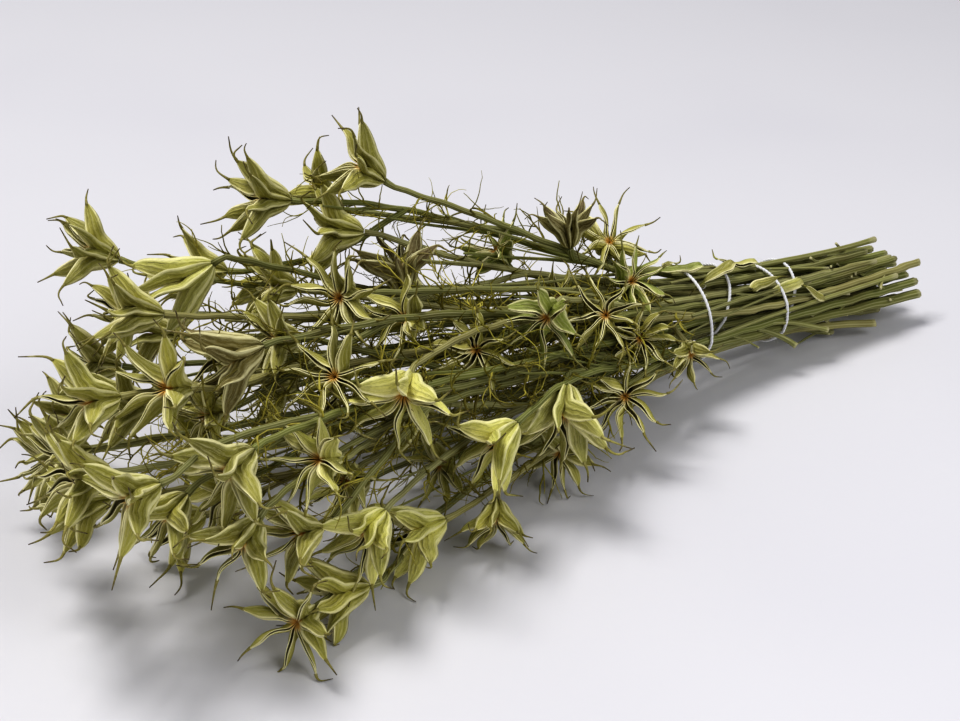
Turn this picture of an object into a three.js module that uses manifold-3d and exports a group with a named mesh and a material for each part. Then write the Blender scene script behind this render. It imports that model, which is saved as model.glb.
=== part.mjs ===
// A tied bunch of dried love-in-a-mist (Nigella orientalis), lying on its side: branched stems, each ending in
// star-mouthed seed pods, gathered by a white cord wound four times round them near their cut ends.
// Millimetres, +Z up. The bunch lies along X with its pods towards -X. While it is laid out, x = 0 is the middle
// of the binding and z = 0 the surface that it lies on; at the end it is moved so that its box stands on the origin.
import * as THREE from "three";
import { mergeVertices } from "three/addons/utils/BufferGeometryUtils.js";
import Module from "manifold-3d";

const wasm = await Module();
wasm.setup();
const V = (x, y, z) => new THREE.Vector3(x, y, z);

// Driving dimensions, mm.
const BINDING = { from: -46, to: 50, height: 31.5, slope: -0.13 }; // the bound stretch of the bundle
const BUNDLE_RADII = [[-46, 25.2], [10, 19.6], [50, 18.2]]; // station and the bundle's radius there
const CORD = { radius: 0.9, gap: 0.8, perQuarter: 5 };
// The cord's station at each quarter turn, from underneath and up over the back, and how far it dips in there,
// behind the outermost stems.
const CORD_WAY = [
  [-37, 0], [-34, 0], [-30, 0], [-29, 0], [-26, 0], [-14, 0], [-4, 0], [-15, 8.5],
  [-19, 9.5], [-2, 0], [18, 0], [23, 0], [21, 0], [30, 0], [37, 0], [32, 8], [29, 8.5],
];
const CUT_REACH = 110; // how far the cut ends stand past the middle of the binding
const CUT_SPREAD = 1.25; // how much wider the bundle is at the cut ends than in the binding
const SWIRL = -0.6; // radians that the stems turn round each other from the binding to the cut ends
const SHOOT_TIP = 1.15; // radius of a stem just under its pod
const SHOOT_ROOT = 1.35; // radius of a side shoot where it forks
const POD = { hub: 12, waist: 5, waistR: 5.8, mouth: 13, keelR: 8.8, grooveR: 4.6, tip: 21.5, tipR: 16, lobes: 7 };
const POD_ROOM = 14.5; // radius of the ball that other stems keep out of, round the middle of a pod
const STEP = 6; // spacing of the points that a stem is laid out by
const CLEAR = 1.1; // least gap between the stems while they settle
const PASSES = 160;
const FLAT = 0.45; // how far a stem's faceted tube may stray from the way that it was laid out

// The sprays, each with its stem's radius at the cut end, how far its cut end stands out and splays from the others,
// and its pods: the place of a pod's hub, the way it faces, and its size. The first pod ends the main stem, and the
// others end side shoots.
const SPRAYS = [
  { stem: 2.0, cut: 1.0, pods: [[-177, 42, 130, -0.7, 0.3, 0.6, 1.05], [-185, 71, 112, -0.6, 0.5, 0.6, 0.95]] },
  { stem: 1.9, cut: 0.94, pods: [[-217, 58, 119, -0.9, 0.3, 0.2, 1.05], [-245, 66, 90, -0.8, 0.6, 0.1, 1.0]] },
  { stem: 1.9, cut: 1.06, pods: [[-291, 71, 108, -0.8, 0.4, 0.4, 1.0], [-272, 22, 108, -0.7, 0.4, -0.5, 1.15]] },
  { stem: 1.7, cut: 0.9, pods: [[-302, 6, 109, -0.9, 0.4, 0.2, 1.0], [-225, 37, 88, -0.9, 0.3, 0.3, 0.95]] },
  { stem: 2.0, cut: 1.08, pods: [[-190, 45, 102, -0.8, 0.5, 0.1, 1.1], [-169, 26, 86, -0.1, 0.2, 1.0, 1.0]] },
  { stem: 1.7, cut: 0.88, pods: [[-226, -21, 105, -0.8, -0.5, 0.3, 1.05], [-119, 24, 82, -0.6, 0.1, 0.8, 0.85]] },
  { stem: 1.8, cut: 1.07, pods: [[-200, -28, 92, -0.8, -0.4, 0.3, 0.95], [-170, -36, 72, -0.6, -0.7, 0.4, 0.95]] },
  { stem: 1.9, cut: 0.97, pods: [[-284, -42, 104, -1.0, 0, -0.1, 1.1], [-293, -34, 78, -1.0, -0.2, 0.1, 0.9]] },
  { stem: 1.7, cut: 1.02, pods: [[-341, -39, 101, -1.0, 0, 0.1, 1.05], [-315, -48, 103, -0.9, -0.3, 0.4, 1.1]] },
  { stem: 2.1, cut: 1.09, pods: [[-352, -52, 80, -1.0, 0, 0.2, 1.05], [-267, -74, 70, -0.9, -0.3, 0.4, 1.0]] },
  { stem: 1.9, cut: 0.86, pods: [[-346, -82, 84, -1.0, -0.1, -0.1, 1.05], [-325, -64, 60, -0.9, -0.3, -0.4, 0.95]] },
  { stem: 2.0, cut: 1.03, pods: [[-307, -81, 82, -0.9, -0.3, -0.2, 1.1], [-295, -48, 50, -1.0, -0.3, -0.1, 0.9]] },
  { stem: 1.7, cut: 0.95, pods: [[-249, -56, 92, -0.6, -0.5, 0.6, 1.0], [-257, -25, 97, -1.0, 0.1, 0.2, 0.9]] },
  { stem: 1.9, cut: 1.1, pods: [[-228, -72, 84, -0.7, -0.7, -0.2, 1.15]] },
  { stem: 1.7, cut: 0.8, pods: [[-246, -57, 45, -0.8, -0.6, 0.1, 0.9], [-247, -46, 68, -0.7, -0.5, 0.4, 0.9]] },
  { stem: 1.8, cut: 0.96, pods: [[-308, -90, 56, -0.8, -0.4, -0.4, 1.0], [-281, -82, 46, -1.0, -0.2, 0.2, 0.95]] },
  { stem: 2.1, cut: 1.04, pods: [[-186, -73, 50, -0.9, -0.1, -0.4, 1.1], [-193, -42, 27, -0.9, -0.4, 0.2, 0.85]] },
  { stem: 2.3, cut: 1.05, pods: [[-147, -66, 48, -0.6, -0.6, -0.6, 1.2], [-101, -50, 35, -0.6, -0.8, 0.2, 0.95]] },
  {
    stem: 1.9,
    cut: 0.78,
    splay: 7,
    pods: [
      [-221, -70, 19, -1.0, 0, -0.1, 1.1],
      [-187, -76, 16, -0.5, -0.7, -0.5, 0.8],
      [-136, -50, 18, -0.7, -0.6, -0.2, 0.85],
    ],
  },
  {
    stem: 1.8,
    cut: 0.45,
    splay: 7,
    pods: [[-253, -85, 38, -0.9, -0.4, -0.3, 1.05], [-213, -50, 62, -1.0, -0.1, 0.1, 0.9]],
  },
  { stem: 2.5, cut: 0.97, pods: [[-291, -95, 17, -0.9, -0.5, 0.1, 1.05], [-266, -84, 15, -1.0, 0.2, 0, 1.05]] },
  { stem: 1.7, cut: 1.05, pods: [[-61, 15, 76, -0.2, -0.5, 0.9, 0.95], [-89, 10, 91, 0, 0.2, 1.0, 0.8]] },
  { stem: 1.7, cut: 0.99, pods: [[-104, -38, 71, -0.7, -0.6, 0.5, 0.9], [-79, -32, 50, -0.5, -0.8, 0.3, 0.85]] },
  { stem: 1.6, cut: 0.93, pods: [[-69, -12, 68, -0.2, -0.7, 0.6, 0.85], [-52, -36, 36, -0.3, -0.9, -0.3, 0.7]] },
  { stem: 1.9, cut: 1.01, pods: [[-140, -44, 82, -0.8, -0.5, -0.1, 1.0]] },
  { stem: 1.8, cut: 1.0, pods: [[-330, 42, 34, -1.0, 0.2, 0, 1.05], [-337, 6, 56, -1.0, 0, 0.1, 1.0]] },
  { stem: 1.8, cut: 0.9, pods: [[-300, 60, 62, -0.9, 0.4, 0.2, 1.0], [-305, 86, 26, -0.8, 0.6, 0, 1.0]] },
  { stem: 1.9, cut: 1.05, pods: [[-262, 84, 56, -0.8, 0.6, 0.1, 1.05], [-150, 52, 60, -0.6, 0.7, 0.4, 0.9]] },
  { stem: 1.8, cut: 0.85, pods: [[-300, -15, 22, -1.0, 0, 0, 1.0], [-342, -23, 50, -1.0, 0, 0.1, 1.0]] },
  { stem: 2.0, cut: 0.95, pods: [[-262, 48, 18, -0.9, 0.4, 0, 1.0], [-205, 64, 32, -0.7, 0.7, 0, 0.95]] },
  { stem: 1.9, cut: 0.6, splay: 8, pods: [[-226, -22, 17, -1.0, -0.1, 0, 0.95], [-172, 5, 18, -0.9, 0.2, 0, 0.9]] },
  { stem: 1.7, cut: 1.03, pods: [[-232, 28, 44, -1.0, 0.2, 0, 0.95], [-115, 40, 27, -0.7, 0.7, 0, 0.85]] },
  { stem: 1.6, cut: 0.98, pods: [[-98, 2, 62, -0.7, -0.5, 0.2, 0.85]] },
  { stem: 1.8, cut: 0.92, pods: [[-319, -19, 84, -1.0, 0, 0.1, 0.95], [-262, 12, 66, -1.0, 0.1, 0.1, 0.9]] },
  { stem: 1.8, cut: 1.04, pods: [[-290, 45, 88, -1.0, 0.2, 0.1, 0.95], [-207, 80, 70, -0.7, 0.7, 0.2, 0.95]] },
];

const clamp = (value, low, high) => Math.min(high, Math.max(low, value));

// How high the middle of the bundle is at station x, and how wide the bundle is there inside the cord.
const bundleHeight = (x) => BINDING.height + BINDING.slope * x;
function bundleRadius(x) {
  const [[x0, r0], [x1, r1], [x2, r2]] = BUNDLE_RADII;
  if (x < x1) return THREE.MathUtils.mapLinear(clamp(x, x0, x1), x0, x1, r0, r1);
  return THREE.MathUtils.mapLinear(clamp(x, x1, x2), x1, x2, r1, r2);
}

// Seats in the binding, spread evenly over a disc of radius 1 by the golden angle.
function seats(count) {
  const golden = Math.PI * (3 - Math.sqrt(5));
  return Array.from({ length: count }, (_, k) => {
    const r = Math.sqrt((k + 0.5) / count);
    return [r * Math.cos(k * golden), r * Math.sin(k * golden)];
  });
}

// Gives each spray the seat that suits the side its pod is on: seats are swapped until no two stems would cross.
function seatSprays(sprays) {
  const found = seats(sprays.length);
  const ways = sprays.map(({ pods: [[x, y, z]] }) => {
    const spread = 20 - 0.3 * x;
    return [y / spread, (z - BINDING.height - 14) / (0.62 * spread)];
  });
  for (let swapped = true; swapped; ) {
    swapped = false;
    for (let i = 0; i < found.length; i++)
      for (let j = i + 1; j < found.length; j++) {
        const dot =
          (found[i][0] - found[j][0]) * (ways[i][0] - ways[j][0]) +
          (found[i][1] - found[j][1]) * (ways[i][1] - ways[j][1]);
        if (dot < -1e-9) {
          [found[i], found[j]] = [found[j], found[i]];
          swapped = true;
        }
      }
  }
  return found;
}

// A pod as placed: its hub, the unit vector that it faces along, its size, and the end of the stem under it.
function placePod([x, y, z, fx, fy, fz, size]) {
  const hub = V(x, y, z);
  const face = V(fx, fy, fz).normalize();
  return { hub, face, size, base: hub.clone().addScaledVector(face, -POD.hub * size) };
}

// Points along a cubic Bezier from a to b, about STEP apart and without its last point.
function reach(a, aPull, b, bPull) {
  const count = Math.max(3, Math.round(a.distanceTo(b) / STEP));
  const curve = new THREE.CubicBezierCurve3(a, a.clone().add(aPull), b.clone().add(bPull), b);
  return Array.from({ length: count }, (_, k) => curve.getPoint(k / count));
}

// The main stem: its cut end, its way through the binding, then a bend to its first pod.
function mainShoot(spray, seat, pod) {
  const at = (x, grow, turn, splay = 0) => {
    const r = (bundleRadius(x) - 3.2) * grow + splay;
    const [c, s] = [Math.cos(turn), Math.sin(turn)];
    return V(x, r * (seat[0] * c - seat[1] * s), bundleHeight(x) + r * (seat[0] * s + seat[1] * c));
  };
  const cut = at(CUT_REACH * spray.cut, CUT_SPREAD, SWIRL, spray.splay);
  cut.z = Math.max(cut.z, spray.stem + 0.5);
  const right = at(BINDING.to, 1, 0);
  const left = at(BINDING.from, 1, 0);
  const span = left.distanceTo(pod.base);
  const outward = pod.base.clone().sub(left).setLength(0.4 * span);
  return [
    ...reach(cut, V(-25, 0, 0), right, V(20, 0, 0)),
    ...reach(right, V(-30, 0, 0), left, V(30, 0, 0)),
    ...reach(left, outward, pod.base, pod.face.clone().multiplyScalar(-0.3 * span)),
    pod.base,
  ];
}

// A side shoot: it leaves the main stem some way below its pod and bends over to it.
function sideShoot(main, pod) {
  const off = Math.min(...main.map((p) => p.distanceTo(pod.base)));
  const forkX = Math.min(pod.base.x + 34 + 1.1 * off, BINDING.from - 8);
  const root = main.reduce((best, p, k) => (Math.abs(p.x - forkX) < Math.abs(main[best].x - forkX) ? k : best), 0);
  const span = main[root].distanceTo(pod.base);
  const along = main[root + 1].clone().sub(main[root - 1]).setLength(0.35 * span);
  const back = pod.face.clone().multiplyScalar(-0.35 * span);
  return { root, points: [...reach(main[root], along, pod.base, back), pod.base] };
}

// Every shoot of the bunch, main stems and side shoots, as laid out before they settle.
function layOut(sprays) {
  const found = seatSprays(sprays);
  const shoots = [];
  sprays.forEach((spray, k) => {
    const [first, ...others] = spray.pods.map(placePod);
    const points = mainShoot(spray, found[k], first);
    const main = { spray: k, pod: first, points, thick: spray.stem, main: null, root: 0 };
    shoots.push(main);
    for (const pod of others) {
      const side = sideShoot(points, pod);
      shoots.push({ spray: k, pod, points: side.points, thick: SHOOT_ROOT, main, root: side.root });
    }
  });
  return shoots;
}

const radiusAt = (shoot, k) => shoot.thick + (SHOOT_TIP - shoot.thick) * (k / (shoot.points.length - 1));

// The way of the cord: drawn tight round the bundle, but behind the outermost stems where it dips in.
function cordPath() {
  const last = CORD_WAY.length - 1;
  const way = new THREE.SplineCurve(CORD_WAY.map(([x, inset]) => new THREE.Vector2(x, inset)));
  return Array.from({ length: last * CORD.perQuarter + 1 }, (_, k) => {
    const share = k / (last * CORD.perQuarter);
    const { x, y: inset } = way.getPoint(share);
    const r = bundleRadius(x) + CORD.gap + CORD.radius - inset;
    const turn = (Math.PI / 2) * (last * share - 1);
    return V(x, r * Math.cos(turn), bundleHeight(x) + r * Math.sin(turn));
  });
}

// Moves the stems apart until none touches another, a pod or the cord, keeping them smooth, inside the bundle's width
// at the binding, and off the floor.
function settle(shoots, cord) {
  const free = [];
  for (const shoot of shoots)
    shoot.points.forEach((p, k) => {
      const fixed = k >= shoot.points.length - 2 || (shoot.main && k === 0);
      free.push({ p, r: radiusAt(shoot, k), spray: shoot.spray, fixed, move: V(0, 0, 0) });
    });
  const fixtures = shoots.map(({ pod, spray }) => ({
    p: pod.hub.clone().addScaledVector(pod.face, 2 * pod.size),
    r: POD_ROOM * pod.size,
    spray,
  }));
  const way = new THREE.CatmullRomCurve3(cord);
  const stops = Array.from({ length: 4 * cord.length }, (_, k) => way.getPoint(k / (4 * cord.length - 1)));
  fixtures.push(...stops.map((p) => ({ p, r: CORD.radius, spray: -1 })));
  const half = STEP / 2;
  let near = [];
  for (let pass = 0; pass < PASSES; pass++) {
    const smooth = 0.45 - (0.35 * pass) / PASSES;
    for (const shoot of shoots) {
      const old = shoot.points.map((p) => p.clone());
      for (let k = 1; k < old.length - 2; k++)
        shoot.points[k].lerp(old[k - 1].clone().add(old[k + 1]).multiplyScalar(0.5), smooth);
    }
    if (pass % 10 === 0) {
      near = [];
      for (let i = 0; i < free.length; i++) {
        const a = free[i];
        for (const b of free.slice(i + 1))
          if (a.spray !== b.spray && a.p.distanceToSquared(b.p) < 324) near.push([a, b]);
        for (const b of fixtures) if (a.spray !== b.spray && a.p.distanceToSquared(b.p) < 900) near.push([a, b]);
      }
    }
    for (const point of free) point.move.set(0, 0, 0);
    for (const [a, b] of near) {
      const need = Math.hypot(a.r + b.r + CLEAR, half);
      const away = a.p.clone().sub(b.p);
      const gap = away.length();
      if (gap >= need) continue;
      away.multiplyScalar((need - gap) / Math.max(gap, 1e-6));
      a.move.addScaledVector(away, b.move ? 0.35 : 0.7);
      if (b.move) b.move.addScaledVector(away, -0.35);
    }
    for (const { p, r, fixed, move } of free) {
      if (fixed) continue;
      p.add(move);
      if (p.x > BINDING.from - 6 && p.x < BINDING.to + 6) {
        const room = bundleRadius(p.x) - r;
        const middle = bundleHeight(p.x);
        const off = Math.hypot(p.y, p.z - middle);
        if (off > room) {
          p.y *= room / off;
          p.z = middle + ((p.z - middle) * room) / off;
        }
      }
      p.z = Math.max(p.z, r + 0.4);
    }
    for (const shoot of shoots) if (shoot.main) shoot.points[0].copy(shoot.main.points[shoot.root]);
  }
}

// A THREE geometry as a manifold solid, and back again.
function toSolid(geometry) {
  const bare = geometry.index ? geometry.toNonIndexed() : geometry;
  const places = new THREE.BufferGeometry().setAttribute("position", bare.getAttribute("position"));
  const merged = mergeVertices(places, 1e-4);
  const triVerts = new Uint32Array(merged.index.array);
  return new wasm.Manifold(new wasm.Mesh({ numProp: 3, vertProperties: merged.attributes.position.array, triVerts }));
}

function toGeometry(solid) {
  const { numProp, numVert, vertProperties, triVerts } = solid.getMesh();
  const position = new Float32Array(numVert * 3);
  for (let k = 0; k < numVert; k++) position.set(vertProperties.subarray(k * numProp, k * numProp + 3), 3 * k);
  const geometry = new THREE.BufferGeometry();
  geometry.setAttribute("position", new THREE.BufferAttribute(position, 3));
  geometry.setIndex(new THREE.BufferAttribute(new Uint32Array(triVerts), 1));
  geometry.computeVertexNormals();
  return geometry;
}

// A closed surface from rings of points with the same count each, capped at both ends by a fan.
function ringSolid(rings) {
  const sides = rings[0].length;
  const places = rings.flat().flatMap((p) => p.toArray());
  const index = [];
  for (let r = 0; r + 1 < rings.length; r++)
    for (let s = 0; s < sides; s++) {
      const [a, b] = [r * sides + s, r * sides + ((s + 1) % sides)];
      index.push(a, b, b + sides, a, b + sides, a + sides);
    }
  const last = (rings.length - 1) * sides;
  for (let s = 1; s + 1 < sides; s++) index.push(0, s + 1, s, last, last + s, last + s + 1);
  const geometry = new THREE.BufferGeometry();
  geometry.setAttribute("position", new THREE.Float32BufferAttribute(places, 3));
  geometry.setIndex(index);
  return toSolid(geometry);
}

// A tube along points, with a radius for each point. Its section is carried along without twisting.
function tube(points, radii, sides) {
  const last = points.length - 1;
  const alongAt = (k) => points[Math.min(k + 1, last)].clone().sub(points[Math.max(k - 1, 0)]).normalize();
  let u = new THREE.Vector3().crossVectors(V(0.3, 0.5, 1), alongAt(0)).normalize();
  const rings = points.map((p, k) => {
    const along = alongAt(k);
    u = u.clone().addScaledVector(along, -u.dot(along)).normalize();
    const w = new THREE.Vector3().crossVectors(along, u);
    return Array.from({ length: sides }, (_, s) => {
      const a = (2 * Math.PI * s) / sides;
      return p.clone().addScaledVector(u, radii[k] * Math.cos(a)).addScaledVector(w, radii[k] * Math.sin(a));
    });
  });
  return ringSolid(rings);
}

// The fewest of a shoot's points, with its ends and its forks, that keep its tube within FLAT of its way.
function thinned(points, forks) {
  const kept = new Set([0, points.length - 1, ...forks]);
  const chord = new THREE.Line3();
  const nearest = V(0, 0, 0);
  const divide = (a, b) => {
    chord.set(points[a], points[b]);
    let [worst, at] = [FLAT, 0];
    for (let k = a + 1; k < b; k++) {
      const off = chord.closestPointToPoint(points[k], true, nearest).distanceTo(points[k]);
      if (off > worst) [worst, at] = [off, k];
    }
    if (!at) return;
    kept.add(at);
    divide(a, at);
    divide(at, b);
  };
  const stops = [...kept].sort((x, y) => x - y);
  stops.slice(1).forEach((stop, k) => divide(stops[k], stop));
  return [...kept].sort((x, y) => x - y);
}

// How far out a pod's lobe may reach without touching another spray.
function lobeReach(hub, tip, spray, shoots) {
  const others = shoots.filter((other) => other.spray !== spray);
  const clear = (p) =>
    others.every(({ pod }) => pod.hub.distanceTo(p) > 13 * pod.size) &&
    others.every(({ points }) => points.every((q) => q.distanceTo(p) > 5.4));
  const shares = [1, 0.85, 0.7, 0.55];
  return shares.find((share) => [0.7 * share, share].every((part) => clear(hub.clone().lerp(tip, part)))) ?? 0.42;
}

// A pod: a ribbed cup on the stem's end, whose lobes spread into a star at the mouth.
function podSolid({ hub, face, size, base }, spray, shoots) {
  const side = new THREE.Vector3().crossVectors(face, V(0.2, 0.1, 1)).normalize();
  const over = new THREE.Vector3().crossVectors(face, side);
  const at = (turn, radius, height) =>
    base
      .clone()
      .addScaledVector(face, height * size)
      .addScaledVector(side, radius * size * Math.cos(turn))
      .addScaledVector(over, radius * size * Math.sin(turn));
  const points = [at(0, 0, -1.5), at(0, 0, POD.hub - 2)];
  const index = [];
  const count = 2 * POD.lobes;
  for (let k = 0; k < count; k++) {
    const turn = (2 * Math.PI * k) / count;
    const keel = k % 2 === 0;
    points.push(at(turn, POD.waistR * (keel ? 1.12 : 0.88), POD.waist));
    points.push(at(turn, keel ? POD.keelR : POD.grooveR, POD.mouth));
    const tip = at(turn, POD.tipR, POD.tip);
    points.push(keel ? hub.clone().lerp(tip, lobeReach(hub, tip, spray, shoots)) : tip);
  }
  const [waist, mouth, tips] = [0, 1, 2].map((row) => (k) => 2 + 3 * ((k + count) % count) + row);
  for (let k = 0; k < count; k++) {
    index.push(0, waist(k), waist(k + 1));
    index.push(waist(k), mouth(k), waist(k + 1), waist(k + 1), mouth(k), mouth(k + 1));
    if (k % 2) continue;
    index.push(mouth(k - 1), tips(k), mouth(k), mouth(k), tips(k), mouth(k + 1));
    index.push(mouth(k - 1), 1, tips(k), tips(k), 1, mouth(k + 1));
  }
  const geometry = new THREE.BufferGeometry();
  geometry.setAttribute("position", new THREE.Float32BufferAttribute(points.flatMap((p) => p.toArray()), 3));
  geometry.setIndex(index);
  const solid = toSolid(geometry.toNonIndexed());
  if (solid.volume() > 0) return solid;
  geometry.setIndex(index.map((_, i) => index[i - (i % 3) + 2 - (i % 3)]));
  return toSolid(geometry.toNonIndexed());
}

// One spray: its main stem and side shoots with their pods, joined into one grown piece.
function sprayGeometry(k, shoots) {
  const own = shoots.filter((shoot) => shoot.spray === k);
  let whole = null;
  for (const shoot of own) {
    const forks = own.filter((side) => side.main === shoot).map((side) => side.root);
    const kept = thinned(shoot.points, forks);
    const path = kept.map((i) => shoot.points[i].clone());
    path[path.length - 1].addScaledVector(shoot.pod.face, 2);
    const stem = tube(path, kept.map((i) => radiusAt(shoot, i)), shoot.main ? 4 : 5);
    const joined = stem.add(podSolid(shoot.pod, k, shoots));
    whole = whole ? whole.add(joined) : joined;
  }
  return toGeometry(whole);
}

// The cord, with its two ends tucked against the stems underneath.
const cordGeometry = (cord) => toGeometry(tube(cord, cord.map(() => CORD.radius), 6));

const DRIED_TONES = [0x8f9350, 0x878c4c, 0x999a58, 0x7f8547, 0x93905a];
const bunch = new THREE.Group();
function addNode(name, geometry, color, roughness) {
  const mesh = new THREE.Mesh(geometry, new THREE.MeshStandardMaterial({ color, roughness, metalness: 0 }));
  mesh.name = name;
  bunch.add(mesh);
}

const cord = cordPath();
const shoots = layOut(SPRAYS);
settle(shoots, cord);
SPRAYS.forEach((_, k) => {
  const tone = DRIED_TONES[(3 * k) % DRIED_TONES.length];
  addNode(`spray_${String(k + 1).padStart(2, "0")}`, sprayGeometry(k, shoots), tone, 0.8);
});
addNode("binding_cord", cordGeometry(cord), 0xe9e9ec, 0.9);

const box = new THREE.Box3().setFromObject(bunch);
bunch.position.set(-(box.min.x + box.max.x) / 2, -(box.min.y + box.max.y) / 2, -box.min.z);

export default bunch;
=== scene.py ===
"""A tied bunch of dried love-in-a-mist seed pods, lying on its side: the visual model.

Lengths are millimetres in the bunch's own frame until a mesh is made: x runs along the stems, with 0 at the
middle of the tie and the cut ends at +x, z is up from the floor, and the pods spread towards -x.
"""

import logging
import math
from dataclasses import dataclass, field
from enum import Enum
from typing import ClassVar

import bpy
import numpy as np
from mathutils import Matrix, Vector

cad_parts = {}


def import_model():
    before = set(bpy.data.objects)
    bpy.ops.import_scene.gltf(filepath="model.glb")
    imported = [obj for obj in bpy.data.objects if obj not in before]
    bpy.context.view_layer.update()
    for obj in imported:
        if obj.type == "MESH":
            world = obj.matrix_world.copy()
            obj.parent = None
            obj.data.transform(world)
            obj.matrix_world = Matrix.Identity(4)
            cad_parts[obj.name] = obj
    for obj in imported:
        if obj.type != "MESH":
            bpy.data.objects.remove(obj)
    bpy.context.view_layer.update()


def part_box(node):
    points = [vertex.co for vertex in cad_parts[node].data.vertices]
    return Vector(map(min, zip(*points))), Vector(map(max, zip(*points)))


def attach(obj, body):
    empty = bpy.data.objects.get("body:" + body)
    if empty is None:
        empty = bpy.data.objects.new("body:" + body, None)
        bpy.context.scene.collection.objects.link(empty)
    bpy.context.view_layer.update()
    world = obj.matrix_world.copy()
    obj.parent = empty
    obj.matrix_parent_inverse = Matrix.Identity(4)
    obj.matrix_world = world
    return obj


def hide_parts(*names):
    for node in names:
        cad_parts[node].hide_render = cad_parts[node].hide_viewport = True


log = logging.getLogger("bunch")

MM = 0.001
# The limits that an angle at random is drawn between, in radians.
ANY_TURN = (0.0, 6.3)
Array = np.ndarray
Colour = tuple[float, float, float]


# --------------------------------------------------------------------------------------------------
# Small sums
# --------------------------------------------------------------------------------------------------


def unit(vectors: Array) -> Array:
    """Vectors scaled to length 1 along their last axis."""
    return vectors / np.maximum(np.linalg.norm(vectors, axis=-1, keepdims=True), 1e-9)


def dot(a: Array, b: Array) -> Array:
    """Dot products along the last axis, which is kept with length 1."""
    return (a * b).sum(axis=-1, keepdims=True)


def ease(low: float, high: float, x: Array) -> Array:
    """A smooth step from 0 at low to 1 at high."""
    t = np.clip((x - low) / (high - low), 0.0, 1.0)
    return t * t * (3.0 - 2.0 * t)


def soft_table(x: Array, stops: Array, heights: Array, blur: float = 0.05) -> Array:
    """Heights read between stops, with the corners rounded.

    Args:
        x: Where to read.
        stops: Where the heights are given, rising.
        heights: The height at each stop.
        blur: How far the corners are rounded.

    Returns:
        The height at each x.
    """
    sides = np.interp(x - blur, stops, heights) + np.interp(x + blur, stops, heights)
    return 0.5 * np.interp(x, stops, heights) + 0.25 * sides


def through(points: Array, share: Array) -> Array:
    """Places on a smooth curve through points.

    Args:
        points: The points, one row each.
        share: How far along each place is, from 0 to 1 of the count of points.

    Returns:
        One row for each share.
    """
    last = len(points) - 1
    at = np.clip(share, 0.0, 1.0) * last
    k = np.minimum(np.floor(at).astype(int), last - 1)
    w = (at - k)[:, None]
    p0, p1, p2, p3 = (points[np.clip(k + step, 0, last)] for step in (-1, 0, 1, 2))
    rise, fall = (p2 - p0) * 0.5, (p3 - p1) * 0.5
    cubic = 2 * p1 - 2 * p2 + rise + fall
    return ((cubic * w + (-3 * p1 + 3 * p2 - 2 * rise - fall)) * w + rise) * w + p1


def above_floor(points: Array, soft: float = 1.6, least: float = 0.12) -> Array:
    """Points pressed up by the floor, so that what would reach through it lies along it.

    Args:
        points: Points whose last axis is x, y, z.
        soft: How gently the floor pushes, in millimetres.
        least: The least height that is left.

    Returns:
        The pressed points.
    """
    pressed = points.copy()
    pressed[..., 2] = soft * np.logaddexp(0, points[..., 2] / soft) + least
    return pressed


def linear(red: int, green: int, blue: int) -> Colour:
    """A colour given as on a paint card, 0 to 255, in the linear values that light uses."""
    shares = (c / 255 for c in (red, green, blue))
    return tuple(c / 12.92 if c <= 0.04045 else ((c + 0.055) / 1.055) ** 2.4 for c in shares)


def blend(a: Colour | Array, b: Colour | Array, share: float | Array) -> Array:
    """A colour between two."""
    return np.asarray(a) * (1 - share) + np.asarray(b) * share


# --------------------------------------------------------------------------------------------------
# Shaders
# --------------------------------------------------------------------------------------------------


class Value:
    """A number socket of a shader, with the sums that let shader maths read as Python."""

    def __init__(self, graph: "Graph", socket: bpy.types.NodeSocket) -> None:
        """Keeps the socket and the graph that it belongs to."""
        self.graph = graph
        self.socket = socket

    def sum(self, operation: str, a: "Value | float", b: "Value | float") -> "Value":
        """A Math node of two terms."""
        return self.graph.node("ShaderNodeMath", {"operation": operation}, {0: a, 1: b})

    def step(self, low: float, high: float) -> "Value":
        """A smooth step of the value from 0 at low to 1 at high."""
        settings = {"interpolation_type": "SMOOTHSTEP"}
        return self.graph.node("ShaderNodeMapRange", settings, {0: self, 1: low, 2: high})

    def sine(self) -> "Value":
        """The value's sine."""
        return self.sum("SINE", self, 0.0)

    def __add__(self, term: "Value | float") -> "Value":
        """self + term."""
        return self.sum("ADD", self, term)

    def __radd__(self, term: "Value | float") -> "Value":
        """term + self."""
        return self.sum("ADD", term, self)

    def __sub__(self, term: "Value | float") -> "Value":
        """self - term."""
        return self.sum("SUBTRACT", self, term)

    def __rsub__(self, term: "Value | float") -> "Value":
        """term - self."""
        return self.sum("SUBTRACT", term, self)

    def __mul__(self, term: "Value | float") -> "Value":
        """self * term."""
        return self.sum("MULTIPLY", self, term)

    def __rmul__(self, term: "Value | float") -> "Value":
        """term * self."""
        return self.sum("MULTIPLY", term, self)

    def __pow__(self, power: float) -> "Value":
        """self ** power."""
        return self.sum("POWER", self, power)


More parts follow.
